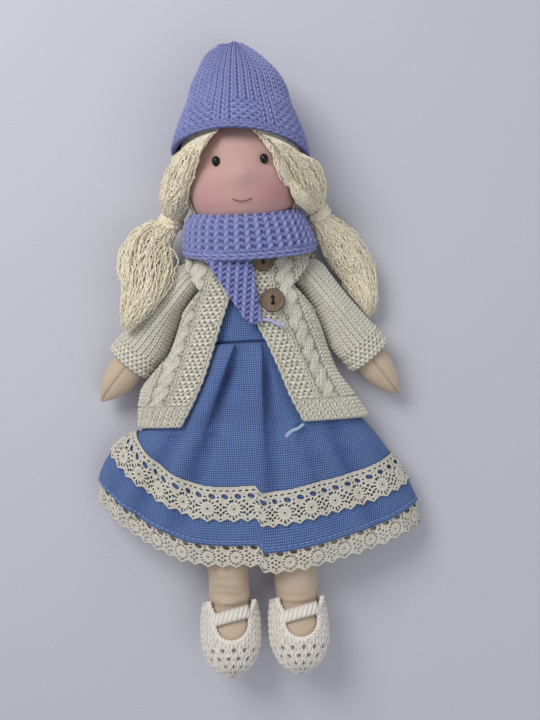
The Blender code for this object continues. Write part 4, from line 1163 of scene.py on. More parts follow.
STRAND_RADIUS = 0.00037
STRAND_STEP = 0.0006
CURTAIN_ROWS_SHARES = (  # sideways, up, forwards, half width and half thickness
    (0.27, 0.80, 0.93, 0.44, 0.035),
    (0.37, 0.735, 0.885, 0.50, 0.05),
    (0.48, 0.66, 0.81, 0.50, 0.08),
    (0.56, 0.575, 0.72, 0.47, 0.11),
    (0.605, 0.49, 0.62, 0.44, 0.14),
    (0.635, 0.41, 0.52, 0.38, 0.155),
    (0.69, 0.305, 0.39, 0.19, 0.095),
    (0.725, 0.26, 0.36, 0.15, 0.078),
)
HAIR_SHIFTS = {  # outwards, mm
    -1: (-1.0, -1.5, -2.5, -3.0, -2.0, 0, 0, 0),
    1: (-1.5, -2.0, -1.5, -1.0, 0.0, 0, 0, 0),
}
CURTAIN_STRANDS = 330
PIGTAIL_STRANDS = 460
LOCK_STRANDS = 190
CRINKLE = 0.00022
TIE_CRINKLE = 0.00018
PIGTAIL_WANDER = 0.0012
HEAD_ROOM = 0.0025  # between the head and the middle of a strand
LOCK_ROOM = 0.0011
CORE_ROOM = 0.0009  # between the hat and the curtain's core, beyond a strand's
LOCK_ROWS = (  # x, y and half width in mm
    (9.5, 106.0, 6.0),
    (15.5, 99.0, 7.5),
    (20.0, 92.2, 7.8),
    (22.0, 85.8, 7.8),
    (25.0, 79.5, 6.8),
    (28.4, 73.0, 5.0),
)
LOCK_LIFT = 0.0010
LOCK_HALF_THICKNESS = 0.0014
HAIRLINE_SHARES = (  # sideways, up
    (0.70, 0.10), (0.70, 0.50), (0.46, 0.62), (0.34, 0.70), (0.18, 0.77), (0.0, 0.79),
)


def bundle_frames(places, up, start_along=None):
    along = np.gradient(places, axis=0)
    if start_along is not None:
        along[0] = start_along
    along = unit(along)
    across = unit(np.cross(along, up(places)))
    return across, np.cross(across, along)


def away_from_head(places):
    return unit(places - np.array((0, NECK_FOOT_Y + HEAD_LENGTH / 2, HEAD_FLOOR + HEAD_DEPTH / 2)))


def upwards(places):
    return np.broadcast_to((0.0, 0.0, 1.0), places.shape)


def curtain_stations(side):
    """The curtain of hair's middle line, half widths and half thicknesses."""
    rows = []
    for (x, y, z, width, thickness), out in zip(CURTAIN_ROWS_SHARES, HAIR_SHIFTS[side]):
        rows.append((side * (HEAD_WIDTH * x + out * MM), NECK_FOOT_Y + HEAD_LENGTH * y, HEAD_DEPTH * z,
                     HEAD_DEPTH / 2 * width, HEAD_WIDTH * thickness))
    return np.array(rows)


def finer(stations, count):
    at = run_of(stations[:, :3])
    return curve(at, stations, np.linspace(0, at[-1], count))


def crinkle(rng, number, count, length, size):
    """Small seeded waves of spun yarn, for every strand and point."""
    where = np.linspace(0, length, count)[None, :, None]
    total = np.zeros((number, count, 3))
    for wavelength, share in ((0.0042, 0.9), (0.0026, 0.9), (0.012, 1.6)):
        pitch = wavelength * rng.uniform(0.8, 1.25, (number, 1, 3))
        total += share * np.sin(where / pitch * TAU + rng.uniform(0, TAU, (number, 1, 3)))
    return total * size


def bundle(stations, up, number, seed, start_along=None, wander=0.0, fray=0.0, loose=0.0, hollow=0.5):
    """Strands that fill a bundle's sections. Returns their paths, how deep each lies and the random source."""
    rng = np.random.default_rng(seed)
    length = run_of(stations[:, :3])[-1]
    count = int(length / STRAND_STEP) + 8
    fine = finer(stations, count)
    across, out = bundle_frames(fine[:, :3], up, start_along)
    part = np.linspace(0, 1, count)[None, :]

    def draw(low, high):
        return rng.uniform(low, high, (number, 1))

    def sway(slowest, fastest):
        return np.sin(part * draw(slowest, fastest) + draw(0, TAU))

    angle = draw(0, TAU)
    depth = 1 - (1 - hollow) * draw(0, 1) ** 1.6
    turn = angle + 0.5 * sway(1, 4)
    reach = depth * (1 + loose * sway(2, 9))
    reach = reach + fray * part**3 * draw(-0.6, 1.0)
    stray = (draw(0, 1) > 0.92) * draw(0.1, 0.35)
    reach = reach + stray * np.sin(math.pi * part**0.8) ** 2
    side = (reach * np.cos(turn))[:, :, None] * (across * fine[:, 3:4])[None]
    rise = (reach * np.sin(turn))[:, :, None] * (out * fine[:, 4:5])[None]
    paths = fine[None, :, :3] + side + rise + crinkle(rng, number, count, length, CRINKLE)
    if wander:
        paths += (wander * part**1.2 * sway(5, 11))[:, :, None] * across[None]
    return paths, 1 - depth[:, 0], rng


def hair(name, paths, deep, rng, spread, deep_shade, taper=1.0):
    """Strands of hair, each a little thicker or thinner and a little lighter or darker than the next, with painted
    shade on those that lie deep.
    """
    radius = STRAND_RADIUS * rng.uniform(*spread, (len(paths), 1)) * taper
    return strands(name, paths, radius, 5, 0.4 * rng.uniform(0, 1, len(paths)) + deep_shade * deep)


def cut_short(rng, paths, most):
    """Uneven ends: every strand stops a little before the end of its path."""
    number, count = paths.shape[:2]
    keep = 1 - most * rng.uniform(0, 1, (number, 1)) ** 1.5
    at = np.linspace(0, 1, count)[None, :] * keep * (count - 1)
    low = np.clip(at.astype(int), 0, count - 2)
    part = (at - low)[:, :, None]
    rows = np.arange(number)[:, None]
    return paths[rows, low] * (1 - part) + paths[rows, low + 1] * part


def core(name, stations, share, shaped):
    """A solid inside a curtain's strands."""
    fine = finer(stations, 60)
    across, out = bundle_frames(fine[:, :3], away_from_head)
    turn = np.arange(28) / 28 * TAU
    ridge = share * (1 + 0.05 * np.cos(7 * turn + 1.0))
    points = (
        fine[:, None, :3]
        + (ridge * np.cos(turn))[None, :, None] * (across * fine[:, 3:4])[:, None, :]
        + (ridge * np.sin(turn))[None, :, None] * (out * fine[:, 4:5])[:, None, :]
    )
    return solid(name, shaped(points))


def off_the_head(paths, room=HEAD_ROOM):
    """Push strands out of the head and its cap."""
    share = np.clip((paths[..., 1] - NECK_FOOT_Y) / HEAD_LENGTH, 0, 1)
    shape = paths.shape[:-1]
    rows = smooth_rows(HEAD_ROWS_SHARES, share.ravel()).reshape(*shape, 5)
    half = HEAD_WIDTH / 2 * rows[..., 1] + room
    low = HEAD_FLOOR + HEAD_DEPTH * rows[..., 3] - room
    top = HEAD_FLOOR + HEAD_DEPTH * rows[..., 4] + room
    dx = paths[..., 0] / half
    dz = (paths[..., 2] - (low + top) / 2) / ((top - low) / 2)
    inside = np.maximum(np.hypot(dx, dz), 1e-6)
    push = np.where((inside < 1) & (share > 0.1) & (share < 0.99), 1 / inside, 1.0)
    paths = paths.copy()
    paths[..., 0] *= push
    paths[..., 2] = (low + top) / 2 + (paths[..., 2] - (low + top) / 2) * push
    return paths


def under_the_hat(paths, spare=0.0):
    """Keep strands inside the hat where it covers them."""
    share = np.clip((paths[..., 1] - HAT_BRIM_Y) / HAT_LENGTH, 0, 1)
    rows = smooth_rows(HAT_ROWS_SHARES, share.ravel()).reshape(*share.shape, 5)
    thick = HAT_KNIT + HAT_STITCH + STRAND_RADIUS + spare
    half = HAT_WIDTH / 2 * np.where(paths[..., 0] > 0, rows[..., 2], rows[..., 1]) - thick
    low, top = HAT_DEPTH * rows[..., 3] + thick, HAT_DEPTH * rows[..., 4] - thick
    dz = (paths[..., 2] - (low + top) / 2) / ((top - low) / 2)
    away = np.hypot(paths[..., 0] / half, dz)
    brim = HAT_BRIM_Y + HAT_FRONT_RISE * paths[..., 2] / HAT_DEPTH - HAT_TILT_SHARE * paths[..., 0]
    brim = brim - BRIM_DROP * np.clip(np.abs(paths[..., 0]) / half, 0, 1) ** 3
    covered = step(-0.004, 0.001, paths[..., 1] - brim)
    pull = 1 - covered * np.clip(1 - 1 / np.maximum(away, 1e-6), 0, 1)
    paths = paths.copy()
    paths[..., 0] *= pull
    paths[..., 2] = (low + top) / 2 + (paths[..., 2] - (low + top) / 2) * pull
    return paths


def make_hair_cap():
    first, last = (HEAD_ROWS_SHARES[i][0] for i in (HAIR_CAP_ROWS[0], HAIR_CAP_ROWS[1] - 1))
    shares = np.linspace(first, last, 110)
    points = head_points(shares, round_angles(220), GAP + HAIR_CAP)
    share = ((points[:, :, 1] - NECK_FOOT_Y) / HEAD_LENGTH)[:-1]
    across = np.abs(points[:-1, :, 0]) / HEAD_WIDTH
    limit = np.interp(share, [y for _, y in HAIRLINE_SHARES], [x for x, _ in HAIRLINE_SHARES], right=0.0)
    face = (points[:-1, :, 2] > HEAD_FLOOR + HEAD_DEPTH / 2) & (across < limit)
    down = fall(points)
    wobble = 1.6 * grain(points.shape[:2], 11, 6)
    ridge = 0.5 + 0.5 * np.sin(down * TAU / 1.25 + 2.5 * wobble)
    # pit: painted shade in the grooves between the ridges of yarn
    cap = cloth("hair_cap_yarn", points, 0.0006 * (ridge - 0.5), HAIR_CAP, keep=~face, pit=0.6 * (1 - ridge))
    soft(cap, "torso", "hair_yarn", "hair_cap")
    knit_sheet(points, ~face)


def make_lock():
    """A thinner lock along the inner edge of the hair on the doll's left, across the temple."""
    rows = []
    for x, y, half in LOCK_ROWS:
        row = smooth_rows(HEAD_ROWS_SHARES, np.atleast_1d((y * MM - NECK_FOOT_Y) / HEAD_LENGTH))[0]
        z = face_height(min(x * MM, 0.93 * HEAD_WIDTH / 2 * row[2]), y * MM)
        rows.append((x * MM, y * MM, z + LOCK_LIFT, half * MM, LOCK_HALF_THICKNESS))
    root = curtain_stations(1)[-2]
    rows.append((*root[:3], *(0.6 * root[3:])))
    paths, deep, rng = bundle(np.array(rows), away_from_head, LOCK_STRANDS, 29, loose=0.06, hollow=0.1)
    paths = off_the_head(under_the_hat(off_the_head(paths, LOCK_ROOM)), LOCK_ROOM)
    soft(hair("left_hair_lock", paths, deep, rng, (0.8, 1.1), 0.3), "torso", "hair_yarn")


def make_hair():
    make_hair_cap()
    make_lock()
    for name, side, table, seed in (
        ("right", -1, RIGHT_PIGTAIL_ROWS_SHARES, 21),
        ("left", 1, LEFT_PIGTAIL_ROWS_SHARES, 37),
    ):
        stations = curtain_stations(side)
        paths, deep, rng = bundle(stations, away_from_head, CURTAIN_STRANDS, seed, loose=0.05, hollow=0.72)
        paths = off_the_head(under_the_hat(off_the_head(paths)))
        inner = core(name + "_hair_core", stations, 0.82, lambda points: under_the_hat(points, CORE_ROOM))
        curtain = hair(name + "_hair_strands", paths, deep, rng, (0.8, 1.15), 0.5)
        soft(inner, "torso", "hair_yarn")
        soft(curtain, "torso", "hair_yarn", name + "_hair")

        knot, before = stations[-1, :3], stations[-2, :3]
        along = (knot - before) / np.linalg.norm(knot - before)
        table = np.array(table)
        size = np.array((PIGTAIL_WIDTH, PIGTAIL_DEPTH)) / 2
        stations = np.concatenate([knot + PIGTAIL_LENGTH * table[:, :3], size * table[:, 3:]], axis=1)
        paths, deep, rng = bundle(stations, upwards, PIGTAIL_STRANDS, seed + 1, along, PIGTAIL_WANDER,
                                  fray=0.22, loose=0.10, hollow=0.30)
        paths = clear_of_arm(side, cut_short(rng, paths, 0.22))
        paths[..., 2] = np.maximum(paths[..., 2], STRAND_RADIUS * 1.2)
        taper = np.interp(np.linspace(0, 1, paths.shape[1]), (0, 0.9, 1), (1, 0.95, 0.4))[None, :]
        tail = hair(name + "_pigtail_strands", paths, deep, rng, (0.75, 1.1), 0.3, taper)
        dress(tail, "hair_yarn", name + "_pigtail")
        if side < 0:
            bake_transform(tail)
        else:
            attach(tail, "torso")
        make_tie(name, knot - along * TIE_YARN_RADIUS, along, seed)


def make_tie(name, place, along, seed):
    """Yarn wound round the pigtail's root, over the hair."""
    rng = np.random.default_rng(seed + 5)
    first = unit(np.cross(along, (0.0, 0.0, 1.0)))
    second = np.cross(along, first)
    turns = np.linspace(0, TAU * 4.3, 260)
    spread = TIE_RADIUS + 0.0002 * np.sin(turns * 1.7)
    drift = 0.0011 * (turns / TAU - 2.15)
    path = (
        place
        + spread[:, None] * (first * np.cos(turns)[:, None] * 0.95 + second * np.sin(turns)[:, None])
        + along * drift[:, None]
    )
    paths = path[None] + crinkle(rng, 2, len(path), 0.16, TIE_CRINKLE)
    tie = strands(name + "_tie_yarn", paths, TIE_YARN_RADIUS * 0.85, 6, (0.1, 0.35))
    soft(tie, "torso", "hair_yarn", name + "_hair_tie")


# Arms and the room that they swing in

def shoulder_frame(side):
    spread = RIGHT_ARM_SPREAD_DEGREES if side < 0 else LEFT_ARM_SPREAD_DEGREES
    place = (side * SHOULDER_SPACING / 2, SHOULDER_Y, SHOULDER_Z)
    return frame_at(place, (ARM_SLOPE_DEGREES, 0, side * spread))


def to_local(points, matrix):
    return (points - matrix[:3, 3]) @ matrix[:3, :3]


def armhole(distance):
    part = np.clip((distance - SLEEVE_RADIUS) / (ARMPIT - SLEEVE_RADIUS), 0, 1)
    return ARMHOLE_INSET + (SLEEVE_RADIUS - ARMHOLE_INSET) * part


def in_arm_room(points, side, extra=0.0):
    """Whether a place is in the room that the sleeve takes as the arm swings."""
    local = to_local(points, shoulder_frame(side))
    x = side * local[..., 0]
    y, z = local[..., 1], local[..., 2]
    clear = SLEEVE_RADIUS + CUFF_ROLL + TURN_GAP + extra
    far = np.hypot(y, z)
    turn = np.arctan2(z, -y)
    edge = math.asin(SLEEVE_DEPTH_SHARE * clear / ARMPIT)
    inset = np.minimum(clear, armhole(far) + TURN_GAP + extra)
    wedge = (x > -inset) & (x < clear) & (far < SLEEVE_LENGTH + HAND_LENGTH)
    wedge &= (turn > -edge) & (turn < math.radians(ARM_SWING_DEGREES) + edge)
    ball = (x > -ARMHOLE_INSET - TURN_GAP - extra) & (x * x + far * far < clear * clear)
    for swing in (0.0, math.radians(ARM_SWING_DEGREES)):
        along, off = z * math.sin(swing) - y * math.cos(swing), z * math.cos(swing) + y * math.sin(swing)
        held = (np.abs(off) < clear * SLEEVE_DEPTH_SHARE) & (along > 0) & (along < SLEEVE_LENGTH)
        wedge |= held & (x > -inset) & (x < clear)
    return wedge | ball


STITCH_ROOM = 0.0010  # between the sleeve's room and the modelled cloth, for the stitches of both
BACK_PUSH = 0.006  # the most that the back's cloth is moved out of the sleeves' rooms
FRONT_PUSH = 0.016  # the most that the fronts' is


def beside_arm_rooms(points, most):
    """Push a cloth out of the rooms that the sleeves swing in, towards the body.

    The second result says which of its faces stay, because those that would have to move further are cut out.
    """
    points = points.copy()
    kept = np.ones(points.shape[:2], bool)
    for side in (-1, 1):
        inside = in_arm_room(points, side, STITCH_ROOM)
        matrix = shoulder_frame(side)
        local = to_local(points, matrix)
        far = np.hypot(local[..., 1], local[..., 2])
        clear = SLEEVE_RADIUS + CUFF_ROLL + TURN_GAP + STITCH_ROOM
        inset = np.where(far < clear, ARMHOLE_INSET, armhole(far)) + TURN_GAP + STITCH_ROOM
        pushed = local.copy()
        pushed[..., 0] = side * -(np.minimum(clear, inset) + 0.0002)
        moved = np.abs(pushed[..., 0] - local[..., 0])
        kept &= ~(inside & (moved > most))
        points = np.where(inside[..., None], placed(pushed, matrix), points)
    cells = kept[:-1] & kept[1:]
    return points, cells & np.roll(cells, -1, axis=1)


def clear_of_arm(side, paths):
    """Keep the strands on top of the right sleeve, and out of the way of the left one."""
    matrix = shoulder_frame(side)
    local = to_local(paths, matrix)
    x, y, z = side * local[..., 0], local[..., 1], local[..., 2]
    clear = SLEEVE_RADIUS + CUFF_ROLL + TURN_GAP + 2 * STRAND_RADIUS
    if side < 0:
        near = np.clip(np.abs(x) / (clear + 0.001), 0, 1)
        top = SLEEVE_DEPTH_SHARE * clear * np.sqrt(1 - near**2)
        over = (near < 1) & (y < SLEEVE_RADIUS) & (y > -SLEEVE_LENGTH - HAND_LENGTH)
        z = np.where(over, np.maximum(z, top), z)
    else:
        x = np.where(np.hypot(y, z) < SLEEVE_LENGTH + HAND_LENGTH, np.maximum(x, clear), x)
    return placed(np.stack([side * x, y, z], axis=-1), matrix)


def sleeve_profile(y, knit=0.0, roll=True):
    """Half widths of the sleeve, away from the body and towards it, by the distance below the shoulder."""
    up = np.clip(y, 0, SLEEVE_RADIUS)
    radius = np.sqrt(SLEEVE_RADIUS**2 - up**2)
    if roll:
        radius = radius + np.where(-y > SLEEVE_LENGTH - CUFF_LENGTH - MM, CUFF_ROLL, 0.0)
    return radius - knit, np.maximum(np.minimum(radius, armhole(np.abs(y))) - knit, 0.0003)


def limb_points(y, outer, inner, half_depth, side, angles):
    across = np.cos(angles)[None, :]
    reach = np.where(across > 0, outer[:, None], inner[:, None])
    z = half_depth[:, None] * np.sin(angles)[None, :]
    return np.stack([side * across * reach, y[:, None] + 0 * across, z], axis=2)


SLEEVE_COLUMNS = 26
SLEEVE_STEPS = 234
STITCH = 0.0012
SLEEVE_SAG = 0.0006
HAND_SEAM = 0.0005  # how deep the seam round the hand is drawn in
SEAM_PUCKER = 0.0001
FINGER_TIP = (0, -0.0016, 0)


def make_arm(name, side):
    matrix = shoulder_frame(side)
    body = name + "_arm"
    angles = round_angles(SLEEVE_STEPS)
    y = np.concatenate([
        SLEEVE_RADIUS * np.sin(np.linspace(math.radians(88), 0, 34)),
        np.linspace(-0.0004, -SLEEVE_LENGTH, 150),
    ])
    outer, inner = sleeve_profile(y)
    points = limb_points(y, outer, inner, outer * SLEEVE_DEPTH_SHARE, side, angles)
    sag = SLEEVE_SAG * np.sin(y / 0.011)[:, None] * np.sin(angles * 3 + 1)[None, :]
    down = fall(points)
    col = np.arange(SLEEVE_STEPS)[None, :] / SLEEVE_STEPS * SLEEVE_COLUMNS + 0 * down
    row = -down / 2.0
    height = stocking(col, row)
    cuff = y[:, None] < -(SLEEVE_LENGTH - CUFF_LENGTH) + 0 * col
    height = np.where(cuff, garter(col, -down / 3.9), height)
    height = fuzzy(height, 41 + side)
    dark = painted_pit_shade(height, power=1.3)
    height = STITCH * (height - 0.5) + sag
    sleeve = cloth(name + "_knitted_sleeve", placed(points, matrix), height, CARDIGAN_KNIT, caps=("start",), pit=dark,
                   st=(col, row), rim=1.1)
    soft(sleeve, body, "cream_knit", name + "_sleeve")
    knit_sheet(points, None)

    along, share = np.array(HAND_ROWS_SHARES).T
    fine = np.linspace(0, 1, 70)
    half = (SLEEVE_RADIUS - CUFF_ROLL - CARDIGAN_KNIT - GAP) * curve(along, share, fine)
    hand_y = -SLEEVE_LENGTH - HAND_LENGTH * fine
    arm_y = y[y > -SLEEVE_LENGTH + 0.004][2::3]
    outer, inner = sleeve_profile(arm_y, CARDIGAN_KNIT + 2 * GAP, False)
    y_all = np.concatenate([arm_y, hand_y])
    outer_all, inner_all = np.concatenate([outer, half]), np.concatenate([inner, half])
    around = round_angles(120)
    points = limb_points(y_all, outer_all, inner_all, outer_all * SLEEVE_DEPTH_SHARE, side, around)
    points = domed(points, FINGER_TIP, 7)
    at_seam = np.abs(np.sin(around - HALF_PI) * (np.sin(around) > 0) + (np.sin(around) <= 0)) < 0.06
    in_sleeve = points[:, :, 1] > -SLEEVE_LENGTH - 0.001
    points = stuffed(points, np.where(in_sleeve, 1.0, np.where(at_seam[None, :], 0.9, 0.0)))
    below = -(points[:, :, 1] + SLEEVE_LENGTH) / HAND_LENGTH
    turn = np.minimum(np.abs(around - HALF_PI), np.abs(around - HALF_PI + TAU))[None, :]
    turn = turn * (np.hypot(points[:, :, 0], points[:, :, 2]) / MM)
    seam = bell(turn, 0.55) * step(-0.1, 0.05, below)
    pucker = seam * (0.6 + 0.4 * np.sin(points[:, :, 1] / 0.0016 * TAU))
    height = -HAND_SEAM * seam - SEAM_PUCKER * pucker
    # pit: painted shade along the drawn-in seam round the hand
    skin = cloth(name + "_arm_cloth", placed(points, matrix), height, SKIN_CLOTH, caps=("start", "end"),
                 pit=0.55 * seam)
    soft(skin, body, "skin_cloth", name + "_arm_skin")
    outer_wool = outer_all - SKIN_CLOTH - GAP
    inner_wool = np.maximum(inner_all - SKIN_CLOTH - GAP, 0.0002)
    wool = limb_points(y_all, outer_wool, inner_wool, outer_wool * SLEEVE_DEPTH_SHARE, side, round_angles(40))
    soft(solid(name + "_arm_stuffing", placed(wool[2:-3], matrix)), body, "wool_filling", name + "_arm_wool")


# Cardigan

STITCH_WIDTH = 2.9  # mm
FRONT_STITCH = 0.0014
EDGE_WAVE = 0.0005  # how far each ridge stands out of the front's edge
EDGE_PITCH = 0.0042  # from one ridge to the next
FRONT_LIE = 0.0007  # how far the fronts wave as they lie
FRONT_BAND = 13.0
CABLE_MIDDLE = 21.5
UNEVEN = 0.55  # how far a stitch lies out of its row, mm
CABLE_HALF = 4.6
HEM_BAND = 14.0


def cardigan_points(shares, start, stop, count, grow=0.0):
    """start and stop are angles for every row."""
    rows = smooth_rows(CARDIGAN_ROWS_SHARES, shares)
    part = np.linspace(0, 1, count)[None, :]
    angles = start[:, None] + (stop - start)[:, None] * part
    side = np.cos(angles)
    half = CARDIGAN_WIDTH / 2 * np.where(side > 0, rows[:, 2:3], rows[:, 1:2]) + grow
    low = CARDIGAN_DEPTH * rows[:, 3:4] - grow
    top = CARDIGAN_DEPTH * rows[:, 4:5] + grow
    z = np.maximum(-grow, (low + top) / 2 + (top - low) / 2 * np.sin(angles))
    y = CARDIGAN_HEM_Y + CARDIGAN_LENGTH * rows[:, :1] + 0 * side
    return np.stack([side * half, y, z], axis=2)


def cardigan_top(x, y):
    """The height of the closed cardigan's front over a place."""
    x, y = np.asarray(x, float), np.asarray(y, float)
    share = np.clip((y - CARDIGAN_HEM_Y) / CARDIGAN_LENGTH, 0, 1)
    rows = smooth_rows(CARDIGAN_ROWS_SHARES, share.ravel()).reshape(*share.shape, 5)
    half = CARDIGAN_WIDTH / 2 * np.where(x > 0, rows[..., 2], rows[..., 1])
    low, top = CARDIGAN_DEPTH * rows[..., 3], CARDIGAN_DEPTH * rows[..., 4]
    part = np.clip(np.abs(x) / half, 0, 1)
    return (low + top) / 2 + (top - low) / 2 * np.sqrt(1 - part**2)


def cardigan_heart(points):
    heart = points.mean(axis=1, keepdims=True).copy()
    heart[:, :, 0], heart[:, :, 2] = 0, CARDIGAN_DEPTH * 0.42
    return heart


def make_cardigan():
    seam = GAP / CARDIGAN_DEPTH
    shares = np.linspace(0, 1, 270)
    flat = np.zeros(len(shares))
    points = cardigan_points(shares, flat + math.pi + seam, flat + TAU - seam, 250)
    across, down = lengths(points, 1), fall(points) + np.zeros((1, 250))
    col, row = across / STITCH_WIDTH, down / 2.0
    height = np.where(down < HEM_BAND, rib(col, row), stocking(col, row))
    way = normals(points, False, cardigan_heart(points))
    points, keep = beside_arm_rooms(points, BACK_PUSH)
    back = cloth("cardigan_back_knit", points, STITCH * (height - 0.85), CARDIGAN_KNIT, False,
                 keep=keep, pit=painted_pit_shade(height), st=(col, row), way=way)
    soft(back, "torso", "cream_knit", "cardigan_back")
    knit_sheet(points, keep, False)

    table = np.array(CARDIGAN_ROWS_SHARES)
    for name, side, edges in (("right", -1, RIGHT_EDGE_SHARES), ("left", 1, LEFT_EDGE_SHARES)):
        edge = curve(table[:, 0], np.array(edges), shares)
        ridges = np.abs(np.sin(math.pi * shares * CARDIGAN_LENGTH / EDGE_PITCH))
        edge = edge - side * EDGE_WAVE / CARDIGAN_WIDTH * 2 * ridges
        rows = smooth_rows(CARDIGAN_ROWS_SHARES, shares)
        reach = np.where(edge > 0, rows[:, 2], rows[:, 1])
        stop = np.arccos(np.clip(edge / reach, -1, 1)) - side * seam
        start = flat + (math.pi - seam if side < 0 else seam)
        points = cardigan_points(shares, start, stop, 280)
        across = lengths(points, 1)
        off = across[:, -1:] - across
        down = lengths(points, 0)[:, -60:].mean(axis=1)[:, None] + 0 * off
        uneven = [UNEVEN * grain(off.shape, 91 + side + 7 * i, 30) for i in range(2)]
        height = front_stitches(off + uneven[0], down + uneven[1], side)
        height = fuzzy(height, 51 + side, 0.07)
        lie = FRONT_LIE * np.sin(down / 9 + side) * step(0, 30, off)
        way = normals(points, False, cardigan_heart(points))
        points, keep = beside_arm_rooms(points, FRONT_PUSH)
        front = cloth(f"cardigan_{name}_knit", points, FRONT_STITCH * (height - 0.6) + lie, CARDIGAN_KNIT,
                      False, keep=keep, pit=painted_pit_shade(height, power=1.3), rim=1.3,
                      st=(off / STITCH_WIDTH, down / 2.0), way=way)
        soft(front, "torso", "cream_knit", f"cardigan_{name}_front")
        knit_sheet(points, keep, False)


def front_stitches(off, down, side):
    """Garter band along the edge, a cable beside it, knit columns beyond, and a ribbed hem."""
    plain = stocking(off / STITCH_WIDTH, down / 2.1)
    twist = rope((off - CABLE_MIDDLE) * side, down, CABLE_HALF, 17.0)
    slant = off + 1.5 * np.sin(TAU * down / 17.0) * side
    legs = stocking(slant / 2.5, down / 2.1)
    cable = np.clip(twist, 0, 1) ** 0.6 * (0.35 + 0.65 * legs) * 1.05
    near = np.abs(off - CABLE_MIDDLE)
    height = np.where(near < CABLE_HALF + 1.2, np.maximum(cable, 0.4 * purl(off / 2.6, down / 2.1)), plain)
    height = np.where(off < FRONT_BAND, garter(off / 3.0, down / 4.2), height)
    hem = rib((off + 0.12 * down * side) / 3.9, down / 2.4)
    hem = np.where((down > HEM_BAND - 1.2) & (down < HEM_BAND), 0.35, hem)
    edge = stocking(0.5 + off / 3.2, down / 3.0)
    height = np.where(down < HEM_BAND, hem, height)
    return np.where((off < 2.2) & (down > 2), edge, height)


# Buttons

BUTTON_FACE = 72
BUTTON_DISH = 0.0004
HOLE_FLOOR = 0.0006  # the wood left under a hole
HOLE_EDGE = 0.00015
UPPER_BUTTON_LOOK_SHARE = 0.887


def button_y(share):
    return CARDIGAN_HEM_Y + CARDIGAN_LENGTH * share


def make_button(name, x, share):
    y = button_y(share)
    low = float(cardigan_top(x - BUTTON_RADIUS, y)) + GAP
    edge, top = BUTTON_EDGE, BUTTON_THICKNESS
    flat = BUTTON_RADIUS - edge
    profile = [(0.0002, 0.0), (flat, 0.0)]
    profile += [(flat + edge * math.sin(a), edge - edge * math.cos(a)) for a in np.linspace(0.2, HALF_PI, 5)]
    profile += [(flat + edge * math.cos(a), top - edge + edge * math.sin(a)) for a in np.linspace(0, HALF_PI, 7)]
    rim = np.linspace(flat - 0.0001, 0.0002, 36)
    profile += [(r, top - BUTTON_DISH * float(step(0.86, 0.70, r / BUTTON_RADIUS))) for r in rim]
    radius, z = np.array(profile).T[:, :, None]
    turn = np.arange(BUTTON_FACE) / BUTTON_FACE * TAU
    points = np.stack([radius * np.cos(turn), radius * np.sin(turn), z + 0 * turn], axis=2)
    hole = np.zeros(points.shape[:2])
    for side in (-1, 1):
        away = np.hypot(points[:, :, 0], points[:, :, 1] - side * BUTTON_HOLE_SPACING / 2)
        hole += step(BUTTON_HOLE_RADIUS + HOLE_EDGE, BUTTON_HOLE_RADIUS - HOLE_EDGE, away)
    upper = points[:, :, 2] > BUTTON_THICKNESS * 0.6
    points[:, :, 2] -= np.where(upper, hole * (BUTTON_THICKNESS - HOLE_FLOOR), 0)
    far = np.hypot(points[:, :, 0], points[:, :, 1]) / BUTTON_RADIUS
    # painted shade in the sunk holes, and a darker ring round the edge
    dark = np.clip(np.where(upper, hole, 0) + 0.8 * step(0.90, 0.97, far), 0, 1)
    button = solid(name + "_disc", points + np.array((x, y, low)))
    button.data.attributes["pit"].data.foreach_set("value", dark.ravel().astype(np.float32))
    soft(button, "torso", "wood", name)
    over = low + top + THREAD_RADIUS * 0.9
    leg = BUTTON_HOLE_SPACING / 2
    path = [(x, y - leg, low + 0.0008), (x, y - leg, over - 0.0005), (x, y - leg * 0.6, over),
            (x, y + leg * 0.6, over), (x, y + leg, over - 0.0005), (x, y + leg, low + 0.0008)]
    soft(ply(name + "_sewing", path, THREAD_RADIUS, 3, 0.0014), "torso", "dark_thread", name + "_thread")


# Scarf

TAIL_TUCK = 0.0020  # how much of the tail is drawn up under the wrap
SCARF_COLUMN = 5.3  # mm
SCARF_BUMP = 3.4
SCARF_STITCH = 0.0019
SCARF_CORNER_RISE = 0.0050
SCARF_HANG = 0.0010  # how far the knit hangs past its lower edge in front
SCARF_BRAID = 4.0
SCARF_ROLL = 0.0005
TAIL_COLUMN = 4.3
TAIL_BUMP = 2.9
TAIL_STITCH = 0.0014
TAIL_ARC = 0.0012


def scarf_stitch(col, row):
    """Raised columns of slanting bumps, with smaller bumps sunk between them."""
    off = np.abs(frac(col) - 0.5) * 2
    ridge = np.sqrt(np.clip(1 - (off / 0.60) ** 2, 0, 1))
    slant = np.abs(np.sin(math.pi * (row - 1.1 * (frac(col) - 0.5))))
    top = ridge * (0.35 + 0.65 * slant**0.6)
    low = 0.72 * bump(col + 0.5 + 0.12 * np.sin(TAU * row), row + 0.5, 0.27, 0.40)
    return np.maximum(top, low)


